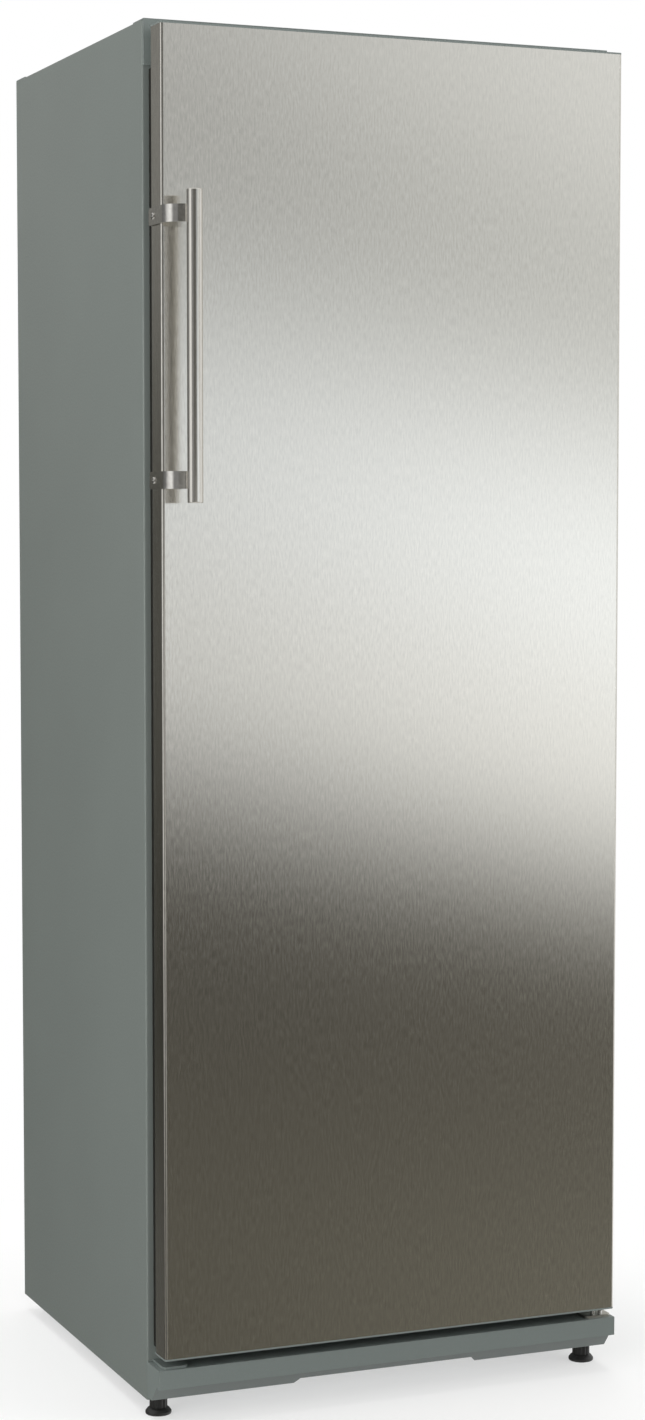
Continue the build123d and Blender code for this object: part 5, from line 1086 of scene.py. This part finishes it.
def make_wall(name, start, end, strength, axis, along, upward, slant=0.0):
    """A lit wall that only reflections see, from one place on the floor to
    another. Its light changes along one axis and upward. Both lists hold
    metres and a level or tone; the slant lets the bands rise along the wall."""
    material = bpy.data.materials.new(name)
    material.use_nodes = True
    tree = material.node_tree
    tree.nodes.clear()
    place = add_node(tree, "ShaderNodeTexCoord")
    parts = add_node(tree, "ShaderNodeSeparateXYZ", links={"Vector": place.outputs["Object"]})
    distance = add_node(
        tree, "ShaderNodeMapRange", {"From Min": -WALL_REACH, "From Max": WALL_REACH},
        {"Value": parts.outputs[axis]},
    )
    fall = add_node(
        tree, "ShaderNodeValToRGB", links={"Fac": distance.outputs["Result"]},
        stops=[(0.5 + at / (2 * WALL_REACH), shade((level,) * 3)) for at, level in along],
    )
    power = add_node(
        tree, "ShaderNodeMath", {1: strength}, {0: fall.outputs["Color"]}, operation="MULTIPLY"
    )
    lean = add_node(
        tree, "ShaderNodeMath", {1: slant, 2: -LEVEL_PLACE * slant}, {0: parts.outputs[axis]},
        operation="MULTIPLY_ADD",
    )
    height = add_node(
        tree, "ShaderNodeMath", links={0: parts.outputs["Z"], 1: lean.outputs["Value"]},
        operation="ADD",
    )
    level = add_node(
        tree, "ShaderNodeMapRange", {"From Min": -WALL_BANDS, "From Max": WALL_BANDS},
        {"Value": height.outputs["Value"]},
    )
    bands = add_node(
        tree, "ShaderNodeValToRGB", links={"Fac": level.outputs["Result"]},
        stops=[
            (0.5 + at / (2 * WALL_BANDS), shade(hex_to_linear(text))) for at, text in upward
        ],
    )
    bands.color_ramp.interpolation = "EASE"
    glow = add_node(
        tree, "ShaderNodeEmission",
        links={"Color": bands.outputs["Color"], "Strength": power.outputs["Value"]},
    )
    add_node(tree, "ShaderNodeOutputMaterial", links={"Surface": glow.outputs["Emission"]})
    corners = [(*start, -WALL_TOP), (*end, -WALL_TOP), (*end, WALL_TOP), (*start, WALL_TOP)]
    wall = flat_sheet(name, corners, material)
    wall.visible_camera = False
    wall.visible_diffuse = False
    wall.visible_transmission = False
    wall.visible_shadow = False


def make_walls(studio):
    """The studio round the object: a broad soft light ahead to the right
    over a dark lower wall, evener walls beside it, a tall soft light at the
    left, and a dim rear."""
    make_wall(
        "front_studio_wall", (0.2, -9.0), (7.4, -9.0), studio.front_wall, "X",
        [(0.5, 0.42), (2.8, 0.6), (5.4, 1.0)],
        [(-2.6, "#5c5a52"), (-0.9, "#4c4a44"), (0.25, "#dadcdd"), (1.1, "#e6ebf0"),
         (2.4, "#b0b2b2"), (3.4, "#c8cacb")],
        slant=0.25,
    )
    make_wall(
        "front_left_studio_wall", (-12.0, -9.0), (0.2, -9.0), studio.side_walls, "X",
        [(-9.0, 0.55), (0.2, 1.0)],
        [(-3.5, "#96958f"), (0.6, "#d8d7d4"), (1.4, "#757470")],
    )
    make_wall(
        "front_right_studio_wall", (7.4, -9.0), (12.0, -9.0), studio.side_walls, "X",
        [(7.4, 1.0), (12.0, 0.8)],
        [(-3.5, "#96958f"), (0.6, "#f2f2f0"), (3.5, "#c8c7c4")],
    )
    make_wall(
        "left_studio_wall", (-7.0, -9.0), (-7.0, 10.0), studio.left_wall, "Y",
        [(-3.5, 0.23), (-1.5, 1.0), (0.9, 0.75), (3.4, 0.2), (8.0, 0.12)],
        [(-2.0, "#8c8a85"), (1.0, "#ffffff")],
    )
    make_wall(
        "rear_studio_wall", (-12.0, 10.0), (12.0, 10.0), studio.rear_wall, "X",
        [(-1.5, 0.43), (0.5, 1.0)],
        [(-3.2, "#8a8983"), (-1.3, "#5f5e56"), (0.8, "#7a7972"), (3.3, "#c8c7c2")],
    )


def make_lamps():
    """Soft lamps: key at the left, fill at the right, one above, one behind."""
    lamps = [
        ("key_lamp", (-3.0, -1.8, 0.9), 1.8, 62.0),
        ("fill_lamp", (3.4, -2.6, 2.2), 2.2, 70.0),
        ("top_lamp", (0.0, 0.4, 4.2), 2.6, 70.0),
        ("rear_lamp", (-1.2, 4.2, 2.4), 2.4, 60.0),
    ]
    aim = Vector((0.0, 0.0, 0.8))
    for name, place, size, power in lamps:
        data = bpy.data.lights.new(name, "AREA")
        data.shape = "SQUARE"
        data.size = size
        data.energy = power
        lamp = bpy.data.objects.new(name, data)
        lamp.location = place
        lamp.rotation_euler = (aim - Vector(place)).to_track_quat("-Z", "Y").to_euler()
        lamp.visible_glossy = False
        bpy.context.collection.objects.link(lamp)


def make_world(scene):
    """Plain soft light; white where it is seen directly or in a reflection."""
    world = bpy.data.worlds.new("studio_world")
    scene.world = world
    world.use_nodes = True
    tree = world.node_tree
    tree.nodes.clear()
    rays = add_node(tree, "ShaderNodeLightPath")
    seen = rays.outputs["Is Camera Ray"]
    for kind in ("Is Glossy Ray", "Is Transmission Ray"):
        either = add_node(
            tree, "ShaderNodeMath", links={0: seen, 1: rays.outputs[kind]}, operation="MAXIMUM"
        )
        seen = either.outputs["Value"]
    light = add_node(tree, "ShaderNodeBackground", {"Color": (1, 1, 1, 1), "Strength": 0.55})
    white = add_node(tree, "ShaderNodeBackground", {"Color": (1, 1, 1, 1), "Strength": 1.0})
    mix = add_node(
        tree, "ShaderNodeMixShader",
        links={0: seen, 1: light.outputs["Background"], 2: white.outputs["Background"]},
    )
    add_node(tree, "ShaderNodeOutputWorld", links={"Surface": mix.outputs["Shader"]})


# ---- panel
class FREEZER_PT_panel(bpy.types.Panel):
    """Lists the freezer's settings and steps"""
    bl_idname = "FREEZER_PT_panel"
    bl_label = "Upright Freezer"
    bl_space_type = "VIEW_3D"
    bl_region_type = "UI"
    bl_category = "Freezer"

    def draw(self, context):
        scene = context.scene
        for group in (scene.freezer_finishes, scene.freezer_fittings, scene.freezer_studio):
            box = self.layout.box()
            for name in group.__annotations__:
                box.prop(group, name)
        for operator in OPERATORS:
            self.layout.operator(operator.bl_idname)


OPERATORS = [
    FREEZER_OT_studio,
    FREEZER_OT_cabinet_shell,
    FREEZER_OT_trims,
    FREEZER_OT_door_shell,
    FREEZER_OT_door_inside,
    FREEZER_OT_handle,
    FREEZER_OT_hinges,
    FREEZER_OT_controls,
    FREEZER_OT_inside,
    FREEZER_OT_feet,
    FREEZER_OT_condenser,
    FREEZER_OT_compressor,
]
GROUPS = {
    "freezer_finishes": FreezerFinishes,
    "freezer_fittings": FreezerFittings,
    "freezer_studio": FreezerStudio,
}
CLASSES = [*GROUPS.values(), *OPERATORS, FREEZER_PT_panel]


def register():
    for cls in CLASSES:
        bpy.utils.register_class(cls)
    for name, group in GROUPS.items():
        setattr(bpy.types.Scene, name, PointerProperty(type=group))


def unregister():
    for name in GROUPS:
        delattr(bpy.types.Scene, name)
    for cls in reversed(CLASSES):
        bpy.utils.unregister_class(cls)


def main():
    register()
    for operator in OPERATORS:
        group, name = operator.bl_idname.split(".")
        getattr(getattr(bpy.ops, group), name)()


if __name__ == "__main__":
    main()
